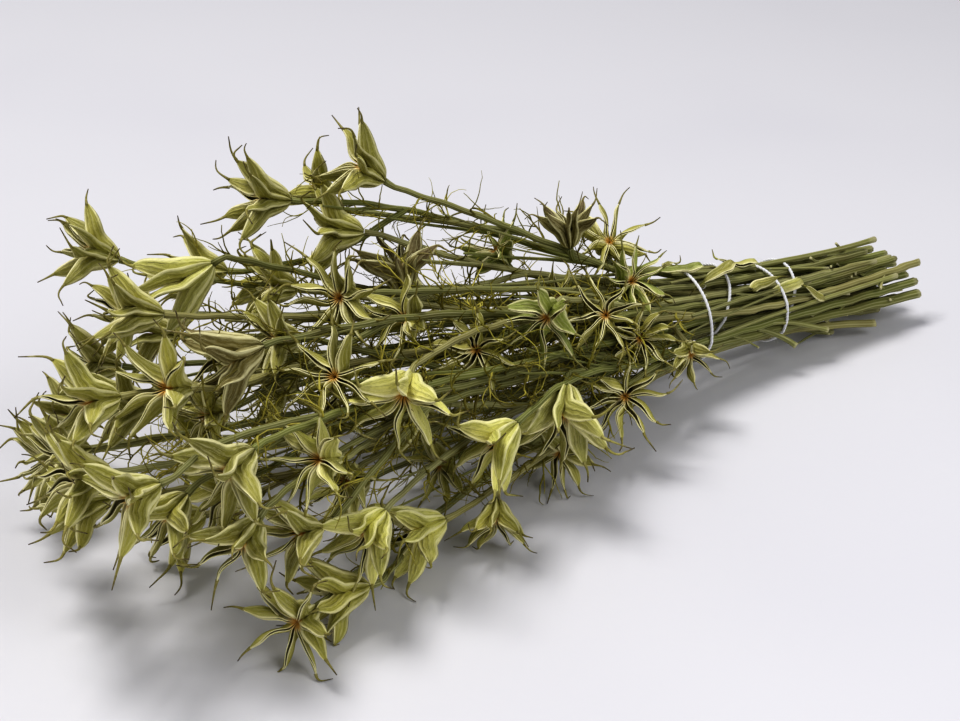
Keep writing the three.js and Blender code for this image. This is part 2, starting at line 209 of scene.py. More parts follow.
class Graph:
    """The node graph of one material."""

    def __init__(self, name: str) -> None:
        """Starts a material with an empty graph.

        Args:
            name: The material's name.
        """
        self.material = bpy.data.materials.new(name)
        self.material.use_nodes = True
        self.tree = self.material.node_tree
        self.tree.nodes.clear()

    def add(self, kind: str, settings: dict, sockets: dict) -> bpy.types.Node:
        """Adds any node.

        Args:
            kind: The node's type.
            settings: Its properties, set first.
            sockets: The value or link of each socket, by number or name.

        Returns:
            The node.
        """
        made = self.tree.nodes.new(kind)
        for key, setting in settings.items():
            setattr(made, key, setting)
        for key, term in sockets.items():
            if isinstance(term, Value):
                self.tree.links.new(term.socket, made.inputs[key])
            elif isinstance(term, tuple) and len(term) == 3 and len(made.inputs[key].default_value) == 4:
                made.inputs[key].default_value = (*term, 1.0)
            else:
                made.inputs[key].default_value = term
        return made

    def node(self, kind: str, settings: dict, sockets: dict, out: int | str = 0) -> Value:
        """Adds any node, as add does.

        Args:
            kind: The node's type.
            settings: Its properties.
            sockets: The value or link of each socket.
            out: The output that is wanted, by number or name.

        Returns:
            The output as a value.
        """
        return Value(self, self.add(kind, settings, sockets).outputs[out])

    def mixed(self, share: Value | float, a: Value | Colour, b: Value | Colour) -> Value:
        """A colour mixed from two.

        Args:
            share: How much of b there is.
            a: The first colour.
            b: The second colour.

        Returns:
            The mixed colour.
        """
        settings = {"data_type": "RGBA", "clamp_factor": True}
        return self.node("ShaderNodeMix", settings, {0: share, 6: a, 7: b}, 2)

    def painted(self, name: str) -> Value:
        """The colour that a piece carries at each point under a name."""
        return self.node("ShaderNodeAttribute", {"attribute_name": name}, {}, "Color")

    def carried(self, name: str) -> Value:
        """The number that a piece carries at each point under a name."""
        return self.node("ShaderNodeAttribute", {"attribute_name": name}, {}, "Fac")

    def pointed(self, name: str) -> Value:
        """The vector that a piece carries at each point under a name."""
        return self.node("ShaderNodeAttribute", {"attribute_name": name}, {}, "Vector")

    def noise(
        self, scale: float, detail: float = 3.0, rough: float = 0.55, where: Value | None = None
    ) -> Value:
        """Soft random patches from 0 to 1.

        Args:
            scale: Patches to a metre, or to a unit of where.
            detail: How many finer layers there are.
            rough: How strong the finer layers are.
            where: The place to read, or None for the place on the object.

        Returns:
            The patches' value.
        """
        place = where or self.node("ShaderNodeTexCoord", {}, {}, "Object")
        sockets = {"Vector": place, "Scale": scale, "Detail": detail, "Roughness": rough}
        return self.node("ShaderNodeTexNoise", {}, sockets, "Fac")

    def finish(
        self, colour: Value, rough: Value, height: Value, depth: float, fixed: dict
    ) -> bpy.types.Material:
        """Ends the graph in one shader.

        Args:
            colour: Base colour.
            rough: Roughness.
            height: The height that the bump follows, from 0 to 1.
            depth: The bump's depth in metres.
            fixed: Values set on the shader's own sockets.

        Returns:
            The material.
        """
        bump = self.node("ShaderNodeBump", {}, {"Strength": 1.0, "Distance": depth, "Height": height})
        sockets = {"Base Color": colour, "Roughness": rough, "Normal": bump, **fixed}
        shader = self.node("ShaderNodeBsdfPrincipled", {}, sockets)
        self.add("ShaderNodeOutputMaterial", {}, {"Surface": shader})
        return self.material


class PodLook(Enum):
    """How a pod has dried."""

    OLIVE = "O"
    STRAW = "S"
    GREEN = "G"
    BROWN = "B"


# The colours of a pod's keels and of its cheeks, for each way that it can have dried.
HUSK_TONES: dict[PodLook, tuple[Colour, Colour]] = {
    PodLook.OLIVE: (linear(140, 138, 58), linear(170, 164, 84)),
    PodLook.STRAW: (linear(170, 170, 84), linear(204, 199, 120)),
    PodLook.GREEN: (linear(118, 128, 50), linear(156, 165, 82)),
    PodLook.BROWN: (linear(108, 98, 50), linear(138, 128, 72)),
}
VIOLET = linear(92, 62, 62)
BEAK_TAN = linear(150, 138, 84)
BEAK_DARK = linear(66, 50, 30)


@dataclass(frozen=True)
class HuskFinish:
    """The dry skin of the pods: ribbed and mottled, cream at the lips, darkened inside with painted shade,
    warm at the heart.
    """

    lip: Colour = linear(254, 248, 196)
    # Painted shade: the colour that the lobes' inner faces are darkened to, standing for the shade inside the
    # pod.
    within: Colour = linear(88, 80, 38)
    heart: Colour = linear(232, 176, 60)
    stain: Colour = linear(88, 82, 32)
    speckle: Colour = (0.62, 0.6, 0.34)
    rib_phase: float = 21.0
    rib_slant: float = 5.0
    rib_waver: float = 5.0
    fibre_count: float = 26.0
    fibre_waver: float = 4.0
    fibre_pull: float = 4.0
    fibre_breaks: float = 8.0
    bump_depth: float = 0.0005

    def fibres(self, g: Graph, across: Value, along: Value, waver: Value, patches: Value) -> Value:
        """Fine fibres that run along a lobe.

        Args:
            g: The graph.
            across: How far across the lobe, from its keel to its lips.
            along: How far along the lobe.
            waver: Soft patches that bend the fibres.
            patches: Broad patches that break them.

        Returns:
            The fibres' value, from 0 to 1.
        """
        over = across * self.fibre_count + waver * self.fibre_waver
        place = {0: over, 1: along * self.fibre_pull, 2: patches * self.fibre_breaks}
        return g.noise(1.0, 4, 0.6, g.node("ShaderNodeCombineXYZ", {}, place))

    def material(self) -> bpy.types.Material:
        """Builds the material.

        Returns:
            The material.
        """
        g = Graph("dry_husk")
        across, along = g.carried("across"), g.carried("along")
        patches = g.noise(90, 4)
        grain = g.noise(650, 4, 0.65)
        waver = g.noise(240, 2)
        ribs = (across * self.rib_phase + along * self.rib_slant + waver * self.rib_waver).sine()
        ribs = (ribs * 0.5 + 0.5) ** 2.0 * (1.0 - along.step(0.75, 1.0))
        fibres = self.fibres(g, across, along, waver, patches)
        colour = g.mixed(patches.step(0.42, 0.75) * 0.4, g.painted("tint"), self.stain)
        colour = g.mixed(grain.step(0.5, 0.8) * 0.28, colour, self.speckle)
        colour = g.mixed(fibres.step(0.46, 0.7) * 0.45, colour, self.stain)
        colour = g.mixed((1.0 - fibres).step(0.5, 0.72) * 0.35, colour, self.lip)
        colour = g.mixed(ribs * 0.15, colour, self.lip)
        colour = g.mixed((1.0 - across.step(0.03, 0.1)) * 0.55, colour, self.lip)
        # Painted shade: the inner faces of the lobes are darkened towards the within colour.
        colour = g.mixed(g.carried("inside") * 0.85, colour, self.within)
        colour = g.mixed(g.carried("lip") * (0.85 + 0.2 * grain), colour, self.lip)
        colour = g.mixed(g.carried("heart") * (0.6 + 0.5 * grain), colour, self.heart)
        height = ribs * 0.5 + fibres * 0.5 + grain * 0.3 + patches * 0.2
        return g.finish(colour, 0.52 + 0.2 * grain, height, self.bump_depth, {"Specular IOR Level": 0.35})


@dataclass(frozen=True)
class StemFinish:
    """The ribbed stems: grey-green, paler on the ribs and at the cut ends, with painted shade in the grooves
    between the ribs and darker streaks.
    """

    rib: Colour = linear(190, 189, 148)
    # Painted shade for the grooves between the ribs, and also the colour of the stems' own dark streaks.
    groove_shade_and_streak: Colour = linear(70, 70, 34)
    brown: Colour = linear(112, 96, 56)
    pith: Colour = linear(206, 200, 158)
    bump_depth: float = 0.0003

    def material(self) -> bpy.types.Material:
        """Builds the material.

        Returns:
            The material.
        """
        g = Graph("dry_stem")
        streak = g.noise(1.0, 4, 0.6, g.pointed("grain"))
        patches = g.noise(42, 3)
        fine = g.noise(900, 3)
        ridge = g.carried("ridge")
        colour = g.mixed(patches.step(0.45, 0.8) * 0.5, g.painted("tint"), self.brown)
        # Painted shade: every groove between the ribs is darkened.
        colour = g.mixed((1.0 - ridge) * 0.32, colour, self.groove_shade_and_streak)
        colour = g.mixed(ridge.step(0.4, 1.0) * streak.step(0.25, 0.65) * 0.6, colour, self.rib)
        # Dark streaks of the stem's own colour.
        colour = g.mixed(streak.step(0.55, 0.8) * 0.35, colour, self.groove_shade_and_streak)
        colour = g.mixed(g.carried("cut") * (0.75 + 0.25 * fine), colour, self.pith)
        height = streak * 0.5 + ridge * 0.35 + fine * 0.3
        return g.finish(colour, 0.55 + 0.25 * streak, height, self.bump_depth, {"Specular IOR Level": 0.3})


@dataclass(frozen=True)
class ThreadFinish:
    """The dry thread leaves: thin, dull and unevenly browned."""

    brown: Colour = linear(96, 82, 44)
    pale: Colour = linear(176, 168, 104)
    bump_depth: float = 0.0001

    def material(self) -> bpy.types.Material:
        """Builds the material.

        Returns:
            The material.
        """
        g = Graph("thread_leaf")
        patches = g.noise(130, 3)
        fine = g.noise(1400, 3)
        colour = g.mixed(patches.step(0.4, 0.7) * 0.5, g.painted("tint"), self.brown)
        colour = g.mixed(fine.step(0.5, 0.8) * 0.3, colour, self.pale)
        return g.finish(colour, 0.6 + 0.2 * fine, fine, self.bump_depth, {"Specular IOR Level": 0.3})


@dataclass(frozen=True)
class CordFinish:
    """White cotton cord: matt and a little greyed in patches."""

    white: Colour = linear(240, 240, 243)
    grey: Colour = linear(196, 197, 204)
    bump_depth: float = 0.00015

    def material(self) -> bpy.types.Material:
        """Builds the material.

        Returns:
            The material.
        """
        g = Graph("white_cotton")
        fibres = g.noise(2600, 4, 0.7)
        patches = g.noise(120, 2)
        colour = g.mixed(fibres.step(0.5, 0.85) * 0.45, self.white, self.grey)
        colour = g.mixed(patches.step(0.5, 0.8) * 0.2, colour, self.grey)
        sheen = {"Sheen Weight": 0.35, "Sheen Roughness": 0.5}
        return g.finish(colour, 0.8 + 0.15 * fibres, fibres, self.bump_depth, sheen)


@dataclass(frozen=True)
class FloorFinish:
    """The pale floor: almost flat, a little cool."""

    colour: Colour = linear(219, 218, 222)
    shade: Colour = linear(215, 214, 219)
    bump_depth: float = 0.00005

    def material(self) -> bpy.types.Material:
        """Builds the material.

        Returns:
            The material.
        """
        g = Graph("pale_floor")
        patches = g.noise(3.0, 2)
        fine = g.noise(160, 2)
        colour = g.mixed(patches.step(0.4, 0.8), self.colour, self.shade)
        return g.finish(colour, 0.55 + 0.1 * fine, fine, self.bump_depth, {"Specular IOR Level": 0.25})


# --------------------------------------------------------------------------------------------------
# The way that the stems lie
# --------------------------------------------------------------------------------------------------


@dataclass(frozen=True)
class Binding:
    """The bound stretch: where it is, how high its middle lies, how wide it is, and the way of the cord."""

    start: float = -46.0
    end: float = 50.0
    height: float = 31.5
    slope: float = -0.13
    radii: tuple[tuple[float, float], ...] = ((-46, 25.2), (10, 19.6), (50, 18.2))
    cord_radius: float = 0.9
    cord_gap: float = 0.8
    per_quarter: int = 5
    # One row for each quarter turn: how far along the cord is, and how far it dips in behind the outer stems.
    way: tuple[tuple[float, float], ...] = (
        *((-37, 0), (-34, 0), (-30, 0), (-29, 0), (-26, 0), (-14, 0), (-4, 0), (-15, 8.5), (-19, 9.5)),
        *((-2, 0), (18, 0), (23, 0), (21, 0), (30, 0), (37, 0), (32, 8), (29, 8.5)),
    )

    def middle(self, x: Array) -> Array:
        """How high the middle of the bundle is."""
        return self.height + self.slope * x

    def radius(self, x: Array) -> Array:
        """How wide the bundle is inside the cord."""
        return np.interp(x, *zip(*self.radii))

    def cord_points(self) -> Array:
        """The cord's way.

        Returns:
            One row for each of its points.
        """
        last = len(self.way) - 1
        share = np.arange(last * self.per_quarter + 1) / (last * self.per_quarter)
        x, inset = through(np.array(self.way, float), share).T
        r = self.radius(x) + self.cord_gap + self.cord_radius - inset
        turn = (math.pi / 2) * (last * share - 1)
        return np.stack([x, r * np.cos(turn), self.middle(x) + r * np.sin(turn)], axis=1)


@dataclass(frozen=True)
class PodPlace:
    """A pod's place: its hub, the way that it faces, its size, its look, and how far its lobes are open."""

    hub: Array
    face: Array
    size: float
    look: PodLook
    opened: float

    HUB_DEPTH: ClassVar[float] = 12.0

    @classmethod
    def read(cls, row: tuple) -> "PodPlace":
        """A pod from a row of the table of sprays.

        Args:
            row: The row.

        Returns:
            The pod's place.
        """
        *place, size, look, opened = row
        hub, face = np.array(place[:3], float), unit(np.array(place[3:], float))
        return cls(hub, face, size, PodLook(look), opened)

    @property
    def base(self) -> Array:
        """The end of the stem under the pod."""
        return self.hub - self.HUB_DEPTH * self.size * self.face


@dataclass
class Shoot:
    """A main stem or a side shoot, with the pod that ends it."""

    spray: int
    pod: PodPlace
    points: Array
    thick: float
    main: "Shoot | None" = None
    root: int = 0

    TIP: ClassVar[float] = 1.15

    def radii(self) -> Array:
        """The radius at each point."""
        return np.linspace(self.thick, self.TIP, len(self.points))


# Each spray: its stem's radius at the cut end, how far the cut end stands out and splays from the others, and
# its pods. A pod: its hub, the way it faces, its size, its look, and how much further than usual its lobes
# have opened, in degrees. The first pod ends the main stem, and the others end side shoots.
SPRAYS = (
    (2, 1, 0, (
        (-177, 42, 130, -0.7, 0.3, 0.6, 1.05, "O", -5),
        (-185, 71, 112, -0.6, 0.5, 0.6, 0.95, "O", 0),
    )),
    (1.9, 0.94, 0, (
        (-217, 58, 119, -0.9, 0.3, 0.2, 1.05, "O", -2),
        (-245, 66, 90, -0.8, 0.6, 0.1, 1, "O", 0),
    )),
    (1.9, 1.06, 0, (
        (-291, 71, 108, -0.8, 0.4, 0.4, 1, "O", -8),
        (-272, 22, 108, -0.7, 0.4, -0.5, 1.15, "S", -14),
    )),
    (1.7, 0.9, 0, (
        (-302, 6, 109, -0.9, 0.4, 0.2, 1, "O", -9),
        (-225, 37, 88, -0.9, 0.3, 0.3, 0.95, "O", 0),
    )),
    (2, 1.08, 0, ((-190, 45, 102, -0.8, 0.5, 0.1, 1.1, "O", 0), (-169, 26, 86, -0.1, 0.2, 1, 1, "B", 0),)),
    (1.7, 0.88, 0, (
        (-226, -21, 105, -0.8, -0.5, 0.3, 1.05, "O", 10),
        (-119, 24, 82, -0.6, 0.1, 0.8, 0.85, "G", 0),
    )),
    (1.8, 1.07, 0, (
        (-200, -28, 92, -0.8, -0.4, 0.3, 0.95, "O", 6),
        (-170, -36, 72, -0.6, -0.7, 0.4, 0.95, "O", 0),
    )),
    (1.9, 0.97, 0, (
        (-284, -42, 104, -1, 0, -0.1, 1.1, "B", -6),
        (-293, -34, 78, -1, -0.2, 0.1, 0.9, "O", 0),
    )),
    (1.7, 1.02, 0, (
        (-341, -39, 101, -1, 0, 0.1, 1.05, "O", 0),
        (-315, -48, 103, -0.9, -0.3, 0.4, 1.1, "O", 8),
    )),
    (2.1, 1.09, 0, ((-352, -52, 80, -1, 0, 0.2, 1.05, "O", 0), (-267, -74, 70, -0.9, -0.3, 0.4, 1, "S", 0),)),
    (1.9, 0.86, 0, (
        (-346, -82, 84, -1, -0.1, -0.1, 1.05, "O", 0),
        (-325, -64, 60, -0.9, -0.3, -0.4, 0.95, "O", 0),
    )),
    (2, 1.03, 0, (
        (-307, -81, 82, -0.9, -0.3, -0.2, 1.1, "O", 0),
        (-295, -48, 50, -1, -0.3, -0.1, 0.9, "O", 0),
    )),
    (1.7, 0.95, 0, (
        (-249, -56, 92, -0.6, -0.5, 0.6, 1, "O", 8),
        (-257, -25, 97, -1, 0.1, 0.2, 0.9, "O", 0),
    )),
    (1.9, 1.1, 0, ((-228, -72, 84, -0.7, -0.7, -0.2, 1.15, "S", 4),)),
    (1.7, 0.8, 0, (
        (-246, -57, 45, -0.8, -0.6, 0.1, 0.9, "S", 0),
        (-247, -46, 68, -0.7, -0.5, 0.4, 0.9, "O", 0),
    )),
    (1.8, 0.96, 0, (
        (-308, -90, 56, -0.8, -0.4, -0.4, 1, "O", 0),
        (-281, -82, 46, -1, -0.2, 0.2, 0.95, "O", 0),
    )),
    (2.1, 1.04, 0, (
        (-186, -73, 50, -0.9, -0.1, -0.4, 1.1, "S", -4),
        (-193, -42, 27, -0.9, -0.4, 0.2, 0.85, "O", 0),
    )),
    (2.3, 1.05, 0, (
        (-147, -66, 48, -0.6, -0.6, -0.6, 1.2, "S", -3),
        (-101, -50, 35, -0.6, -0.8, 0.2, 0.95, "O", 12),
    )),
    (1.9, 0.78, 7, (
        (-221, -70, 19, -1, 0, -0.1, 1.1, "S", 0),
        (-187, -76, 16, -0.5, -0.7, -0.5, 0.8, "O", 0),
        (-136, -50, 18, -0.7, -0.6, -0.2, 0.85, "O", 0),
    )),
    (1.8, 0.45, 7, (
        (-253, -85, 38, -0.9, -0.4, -0.3, 1.05, "S", -4),
        (-213, -50, 62, -1, -0.1, 0.1, 0.9, "O", 0),
    )),
    (2.5, 0.97, 0, (
        (-291, -95, 17, -0.9, -0.5, 0.1, 1.05, "O", 16),
        (-266, -84, 15, -1, 0.2, 0, 1.05, "O", -4),
    )),
    (1.7, 1.05, 0, ((-61, 15, 76, -0.2, -0.5, 0.9, 0.95, "O", 15), (-89, 10, 91, 0, 0.2, 1, 0.8, "B", -7),)),
    (1.7, 0.99, 0, (
        (-104, -38, 71, -0.7, -0.6, 0.5, 0.9, "O", 9),
        (-79, -32, 50, -0.5, -0.8, 0.3, 0.85, "O", 0),
    )),
    (1.6, 0.93, 0, (
        (-69, -12, 68, -0.2, -0.7, 0.6, 0.85, "G", 0),
        (-52, -36, 36, -0.3, -0.9, -0.3, 0.7, "O", 0),
    )),
    (1.9, 1.01, 0, ((-140, -44, 82, -0.8, -0.5, -0.1, 1, "G", 2),)),
    (1.8, 1, 0, ((-330, 42, 34, -1, 0.2, 0, 1.05, "O", 0), (-337, 6, 56, -1, 0, 0.1, 1, "O", 0),)),
    (1.8, 0.9, 0, ((-300, 60, 62, -0.9, 0.4, 0.2, 1, "O", 0), (-305, 86, 26, -0.8, 0.6, 0, 1, "O", 0),)),
    (1.9, 1.05, 0, (
        (-262, 84, 56, -0.8, 0.6, 0.1, 1.05, "O", 0),
        (-150, 52, 60, -0.6, 0.7, 0.4, 0.9, "O", 0),
    )),
    (1.8, 0.85, 0, ((-300, -15, 22, -1, 0, 0, 1, "O", 0), (-342, -23, 50, -1, 0, 0.1, 1, "O", 0),)),
    (2, 0.95, 0, ((-262, 48, 18, -0.9, 0.4, 0, 1, "O", 0), (-205, 64, 32, -0.7, 0.7, 0, 0.95, "O", 0),)),
    (1.9, 0.6, 8, ((-226, -22, 17, -1, -0.1, 0, 0.95, "O", 0), (-172, 5, 18, -0.9, 0.2, 0, 0.9, "O", 0),)),
    (1.7, 1.03, 0, ((-232, 28, 44, -1, 0.2, 0, 0.95, "O", 0), (-115, 40, 27, -0.7, 0.7, 0, 0.85, "O", 0),)),
    (1.6, 0.98, 0, ((-98, 2, 62, -0.7, -0.5, 0.2, 0.85, "O", 0),)),
    (1.8, 0.92, 0, ((-319, -19, 84, -1, 0, 0.1, 0.95, "O", 0), (-262, 12, 66, -1, 0.1, 0.1, 0.9, "O", 0),)),
    (1.8, 1.04, 0, (
        (-290, 45, 88, -1, 0.2, 0.1, 0.95, "O", 0),
        (-207, 80, 70, -0.7, 0.7, 0.2, 0.95, "O", 0),
    )),
)


@dataclass
class Layout:
    """Lays out every stem from its cut end through the binding to its pods, then lets them settle apart."""

    binding: Binding
    cut_reach: float = 110.0
    cut_spread: float = 1.25
    swirl: float = -0.6
    side_thick: float = 1.35
    pod_room: float = 14.5
    step: float = 6.0
    clear: float = 1.1
    passes: int = 160
    draws: int = 60
    most_drawn: tuple[float, float] = (1.6, 7.0)
    loose_from: tuple[float, float] = (-50.0, -150.0)
    fan: tuple[float, float] = (20.0, 0.3)
    fan_rise: float = 14.0
    fan_flat: float = 0.62
    bark_room: float = 3.2
    cut_pull: float = 25.0
    tie_pulls: tuple[float, float] = (20.0, 30.0)
    head_pulls: tuple[float, float] = (0.4, 0.3)
    fork_below: float = 34.0
    fork_lean: float = 1.1
    fork_clear: float = 8.0
    side_pull: float = 0.35
    stem_reach: float = 18.0
    pod_reach: float = 30.0
    floor_gap: float = 0.4
    look_again: int = 10
    push_share: float = 0.35
    smoothing: tuple[float, float] = (0.45, 0.35)
    shoots: list[Shoot] = field(default_factory=list)

    def seats(self) -> Array:
        """A seat in the binding for each spray, swapped until no two stems would cross.

        Returns:
            One row for each spray, within a circle of radius 1.
        """
        count = len(SPRAYS)
        k = np.arange(count)
        r, turn = np.sqrt((k + 0.5) / count), k * math.pi * (3 - math.sqrt(5))
        found = np.stack([r * np.cos(turn), r * np.sin(turn)], axis=1)
        heads = np.array([pods[0][:3] for *_, pods in SPRAYS], float)
        spread = self.fan[0] - self.fan[1] * heads[:, 0]
        rise = (heads[:, 2] - self.binding.height - self.fan_rise) / (self.fan_flat * spread)
        ways = np.stack([heads[:, 1] / spread, rise], axis=1)
        swapped = True
        while swapped:
            swapped = False
            for i in range(count):
                for j in range(i + 1, count):
                    if (found[i] - found[j]) @ (ways[i] - ways[j]) < -1e-9:
                        found[[i, j]] = found[[j, i]]
                        swapped = True
        return found

    def reach(self, a: Array, a_pull: Array, b: Array, b_pull: Array) -> Array:
        """Points along a cubic curve from a to b, a step apart and without the last one.

        Args:
            a: The start.
            a_pull: Where the curve's first handle is from a.
            b: The end.
            b_pull: Where its last handle is from b.

        Returns:
            One row for each point.
        """
        count = max(3, math.floor(np.linalg.norm(b - a) / self.step + 0.5))
        t = (np.arange(count) / count)[:, None]
        u = 1 - t
        return u**3 * a + 3 * u * u * t * (a + a_pull) + 3 * u * t * t * (b + b_pull) + t**3 * b

    def main_shoot(self, row: tuple, seat: Array, pod: PodPlace) -> Array:
        """The main stem's points.

        Args:
            row: The spray's row in the table.
            seat: Its seat in the binding.
            pod: The pod that ends it.

        Returns:
            One row for each point, from the cut end to the pod.
        """
        thick, cut_share, splay, _ = row

        def at(x: float, grow: float, turn: float, out: float = 0.0) -> Array:
            """The seat's place at a station.

            Args:
                x: The station.
                grow: How much wider the bundle is there than in the binding.
                turn: How far the bundle is twisted there, in radians.
                out: How far out the seat is moved.

            Returns:
                The place.
            """
            r = (self.binding.radius(x) - self.bark_room) * grow + out
            c, s = math.cos(turn), math.sin(turn)
            rise = r * (seat[0] * s + seat[1] * c)
            return np.array([x, r * (seat[0] * c - seat[1] * s), self.binding.middle(x) + rise])

        cut = at(self.cut_reach * cut_share, self.cut_spread, self.swirl, splay)
        cut[2] = max(cut[2], thick + 0.5)
        right, left = at(self.binding.end, 1, 0), at(self.binding.start, 1, 0)
        span = np.linalg.norm(pod.base - left)
        outward, inward = self.head_pulls
        along = np.array([1.0, 0, 0])
        end_pull, tie_pull = self.tie_pulls
        stretches = [
            self.reach(cut, -self.cut_pull * along, right, end_pull * along),
            self.reach(right, -tie_pull * along, left, tie_pull * along),
            self.reach(left, unit(pod.base - left) * outward * span, pod.base, -inward * span * pod.face),
        ]
        return np.vstack([*stretches, pod.base])

    def side_shoot(self, main: Array, pod: PodPlace) -> tuple[int, Array]:
        """A side shoot, which leaves the main stem some way below its pod.

        Args:
            main: The main stem's points.
            pod: The pod that ends the side shoot.

        Returns:
            The number of the main stem's point that it leaves from, and its own points.
        """
        off = np.linalg.norm(main - pod.base, axis=1).min()
        below = self.fork_below + self.fork_lean * off
        fork_x = min(pod.base[0] + below, self.binding.start - self.fork_clear)
        root = int(np.argmin(np.abs(main[:, 0] - fork_x)))
        span = np.linalg.norm(pod.base - main[root])
        along = unit(main[root + 1] - main[root - 1]) * self.side_pull * span
        way = self.reach(main[root], along, pod.base, -self.side_pull * span * pod.face)
        return root, np.vstack([way, pod.base])

    def lay_out(self) -> None:
        """Makes every shoot as it lies before it settles."""
        for k, (row, seat) in enumerate(zip(SPRAYS, self.seats())):
            first, *others = (PodPlace.read(pod) for pod in row[3])
            main = Shoot(k, first, self.main_shoot(row, seat, first), row[0])
            self.shoots.append(main)
            for pod in others:
                root, points = self.side_shoot(main.points, pod)
                self.shoots.append(Shoot(k, pod, points, self.side_thick, main, root))

    @staticmethod
    def push_apart(away: Array, need: Array, share: float) -> Array:
        """How points are pushed away from others that they are too near.

        Args:
            away: From each other point to the point.
            need: How far apart they have to be.
            share: How much of what is lacking is made up at once.

        Returns:
            The push on each point.
        """
        gap = np.linalg.norm(away, axis=1)
        return share * (np.maximum(need - gap, 0) / np.maximum(gap, 1e-6))[:, None] * away

    def settle(self) -> None:
        """Moves the stems apart until none touches another, a pod, the cord or the floor."""
        sizes = [len(shoot.points) for shoot in self.shoots]
        starts = np.concatenate([[0], np.cumsum(sizes)[:-1]])
        p = np.vstack([shoot.points for shoot in self.shoots])
        r = np.concatenate([shoot.radii() for shoot in self.shoots])
        spray = np.repeat([shoot.spray for shoot in self.shoots], sizes)
        inner = np.zeros(len(p), bool)
        free = np.ones(len(p), bool)
        roots = []
        for shoot, start, size in zip(self.shoots, starts, sizes):
            inner[start + 1 : start + size - 2] = True
            free[start + size - 2 : start + size] = False
            if shoot.main is not None:
                free[start] = False
                home = starts[next(k for k, other in enumerate(self.shoots) if other is shoot.main)]
                roots.append((start, home + shoot.root))
        inner = np.flatnonzero(inner)
        twigs, forks = np.array(roots).T
        cord = self.binding.cord_points()
        stops = through(cord, np.linspace(0, 1, 4 * len(cord)))
        still = np.vstack([*(s.pod.hub + 2 * s.pod.size * s.pod.face for s in self.shoots), stops])
        pod_rooms = [self.pod_room * s.pod.size for s in self.shoots]
        still_r = np.array(pod_rooms + [self.binding.cord_radius] * len(stops))
        still_spray = np.array([s.spray for s in self.shoots] + [-1] * len(stops))
        half = self.step / 2
        for turn in range(self.passes):
            smooth = self.smoothing[0] - self.smoothing[1] * turn / self.passes
            p[inner] += smooth * (0.5 * (p[inner - 1] + p[inner + 1]) - p[inner])
            if turn % self.look_again == 0:
                squares = (p * p).sum(1)
                apart = squares[:, None] + squares[None] - 2 * p @ p.T
                a, b = np.nonzero(np.triu((apart < self.stem_reach**2) & (spray[:, None] != spray[None]), 1))
                apart = squares[:, None] + (still * still).sum(1)[None] - 2 * p @ still.T
                c, d = np.nonzero((apart < self.pod_reach**2) & (spray[:, None] != still_spray[None]))
                free_need = np.hypot(r[a] + r[b] + self.clear, half)
                still_need = np.hypot(r[c] + still_r[d] + self.clear, half)
            move = np.zeros_like(p)
            push = self.push_apart(p[a] - p[b], free_need, self.push_share)
            np.add.at(move, a, push)
            np.add.at(move, b, -push)
            np.add.at(move, c, self.push_apart(p[c] - still[d], still_need, 2 * self.push_share))
            p[free] += move[free]
            middle = self.binding.middle(p[:, 0])
            room = self.binding.radius(p[:, 0]) - r
            off = np.hypot(p[:, 1], p[:, 2] - middle)
            tied = (p[:, 0] > self.binding.start - self.step) & (p[:, 0] < self.binding.end + self.step)
            bound = free & tied & (off > room)
            share = np.where(bound, room / np.maximum(off, 1e-6), 1.0)
            p[:, 1] *= share
            p[:, 2] = middle + (p[:, 2] - middle) * share
            p[free, 2] = np.maximum(p[free, 2], r[free] + self.floor_gap)
            p[twigs] = p[forks]
        for shoot, start, size in zip(self.shoots, starts, sizes):
            shoot.points = p[start : start + size]

    def draw_straight(self) -> None:
        """Draws out the kinks that settling left, moving no point further than a stem can give."""
        for shoot in self.shoots:
            start = shoot.points
            if shoot.main is not None:
                fade = np.linspace(1, 0, len(start))[:, None] ** 1.5
                start = start + (shoot.main.points[shoot.root] - start[0]) * fade
            way = start.copy()
            near, far = self.most_drawn
            most = near + (far - near) * ease(*self.loose_from, start[:, :1])
            for _ in range(self.draws):
                way[1:-2] += 0.5 * (0.5 * (way[:-3] + way[2:-1]) - way[1:-2])
                moved = way - start
                length = np.linalg.norm(moved, axis=1, keepdims=True)
                way = start + moved * np.minimum(1, most / np.maximum(length, 1e-6))
            shoot.points = way


# --------------------------------------------------------------------------------------------------
# Meshes
# --------------------------------------------------------------------------------------------------


def carried_frames(points: Array) -> tuple[Array, Array, Array]:
    """Frames carried along ways without twisting.

    Args:
        points: Ways of the same count of points each, as (..., count, 3).

    Returns:
        The direction along each way, and two directions across it, each as (..., count, 3).
    """
    along = np.empty_like(points)
    along[..., 1:-1, :] = points[..., 2:, :] - points[..., :-2, :]
    along[..., 0, :] = points[..., 1, :] - points[..., 0, :]
    along[..., -1, :] = points[..., -1, :] - points[..., -2, :]
    along = unit(along)
    u = np.cross(np.array([0.31, 0.52, 1.0]), along[..., 0, :])
    across = np.empty_like(points)
    for k in range(points.shape[-2]):
        here = along[..., k, :]
        u = unit(u - dot(u, here) * here)
        across[..., k, :] = u
    return along, across, np.cross(along, across)


def ringed(points: Array, radii: Array, sides: int, flat: float = 1.0, twist: Array | float = 0.0) -> Array:
    """Rings round ways.

    Args:
        points: Ways, as (..., count, 3).
        radii: The radius at each point, as (..., count) or (..., count, sides).
        sides: Points in a ring.
        flat: The thickness of a ring as a share of its width.
        twist: How far each ring is turned, in radians.

    Returns:
        The rings, as (..., count, sides, 3).
    """
    _, u, w = carried_frames(points)
    turn = np.arange(sides) * 2 * math.pi / sides + np.asarray(twist)[..., None]
    if radii.ndim == points.ndim - 1:
        radii = radii[..., None]
    c, s = radii * np.cos(turn), flat * radii * np.sin(turn)
    return points[..., None, :] + c[..., None] * u[..., None, :] + s[..., None] * w[..., None, :]


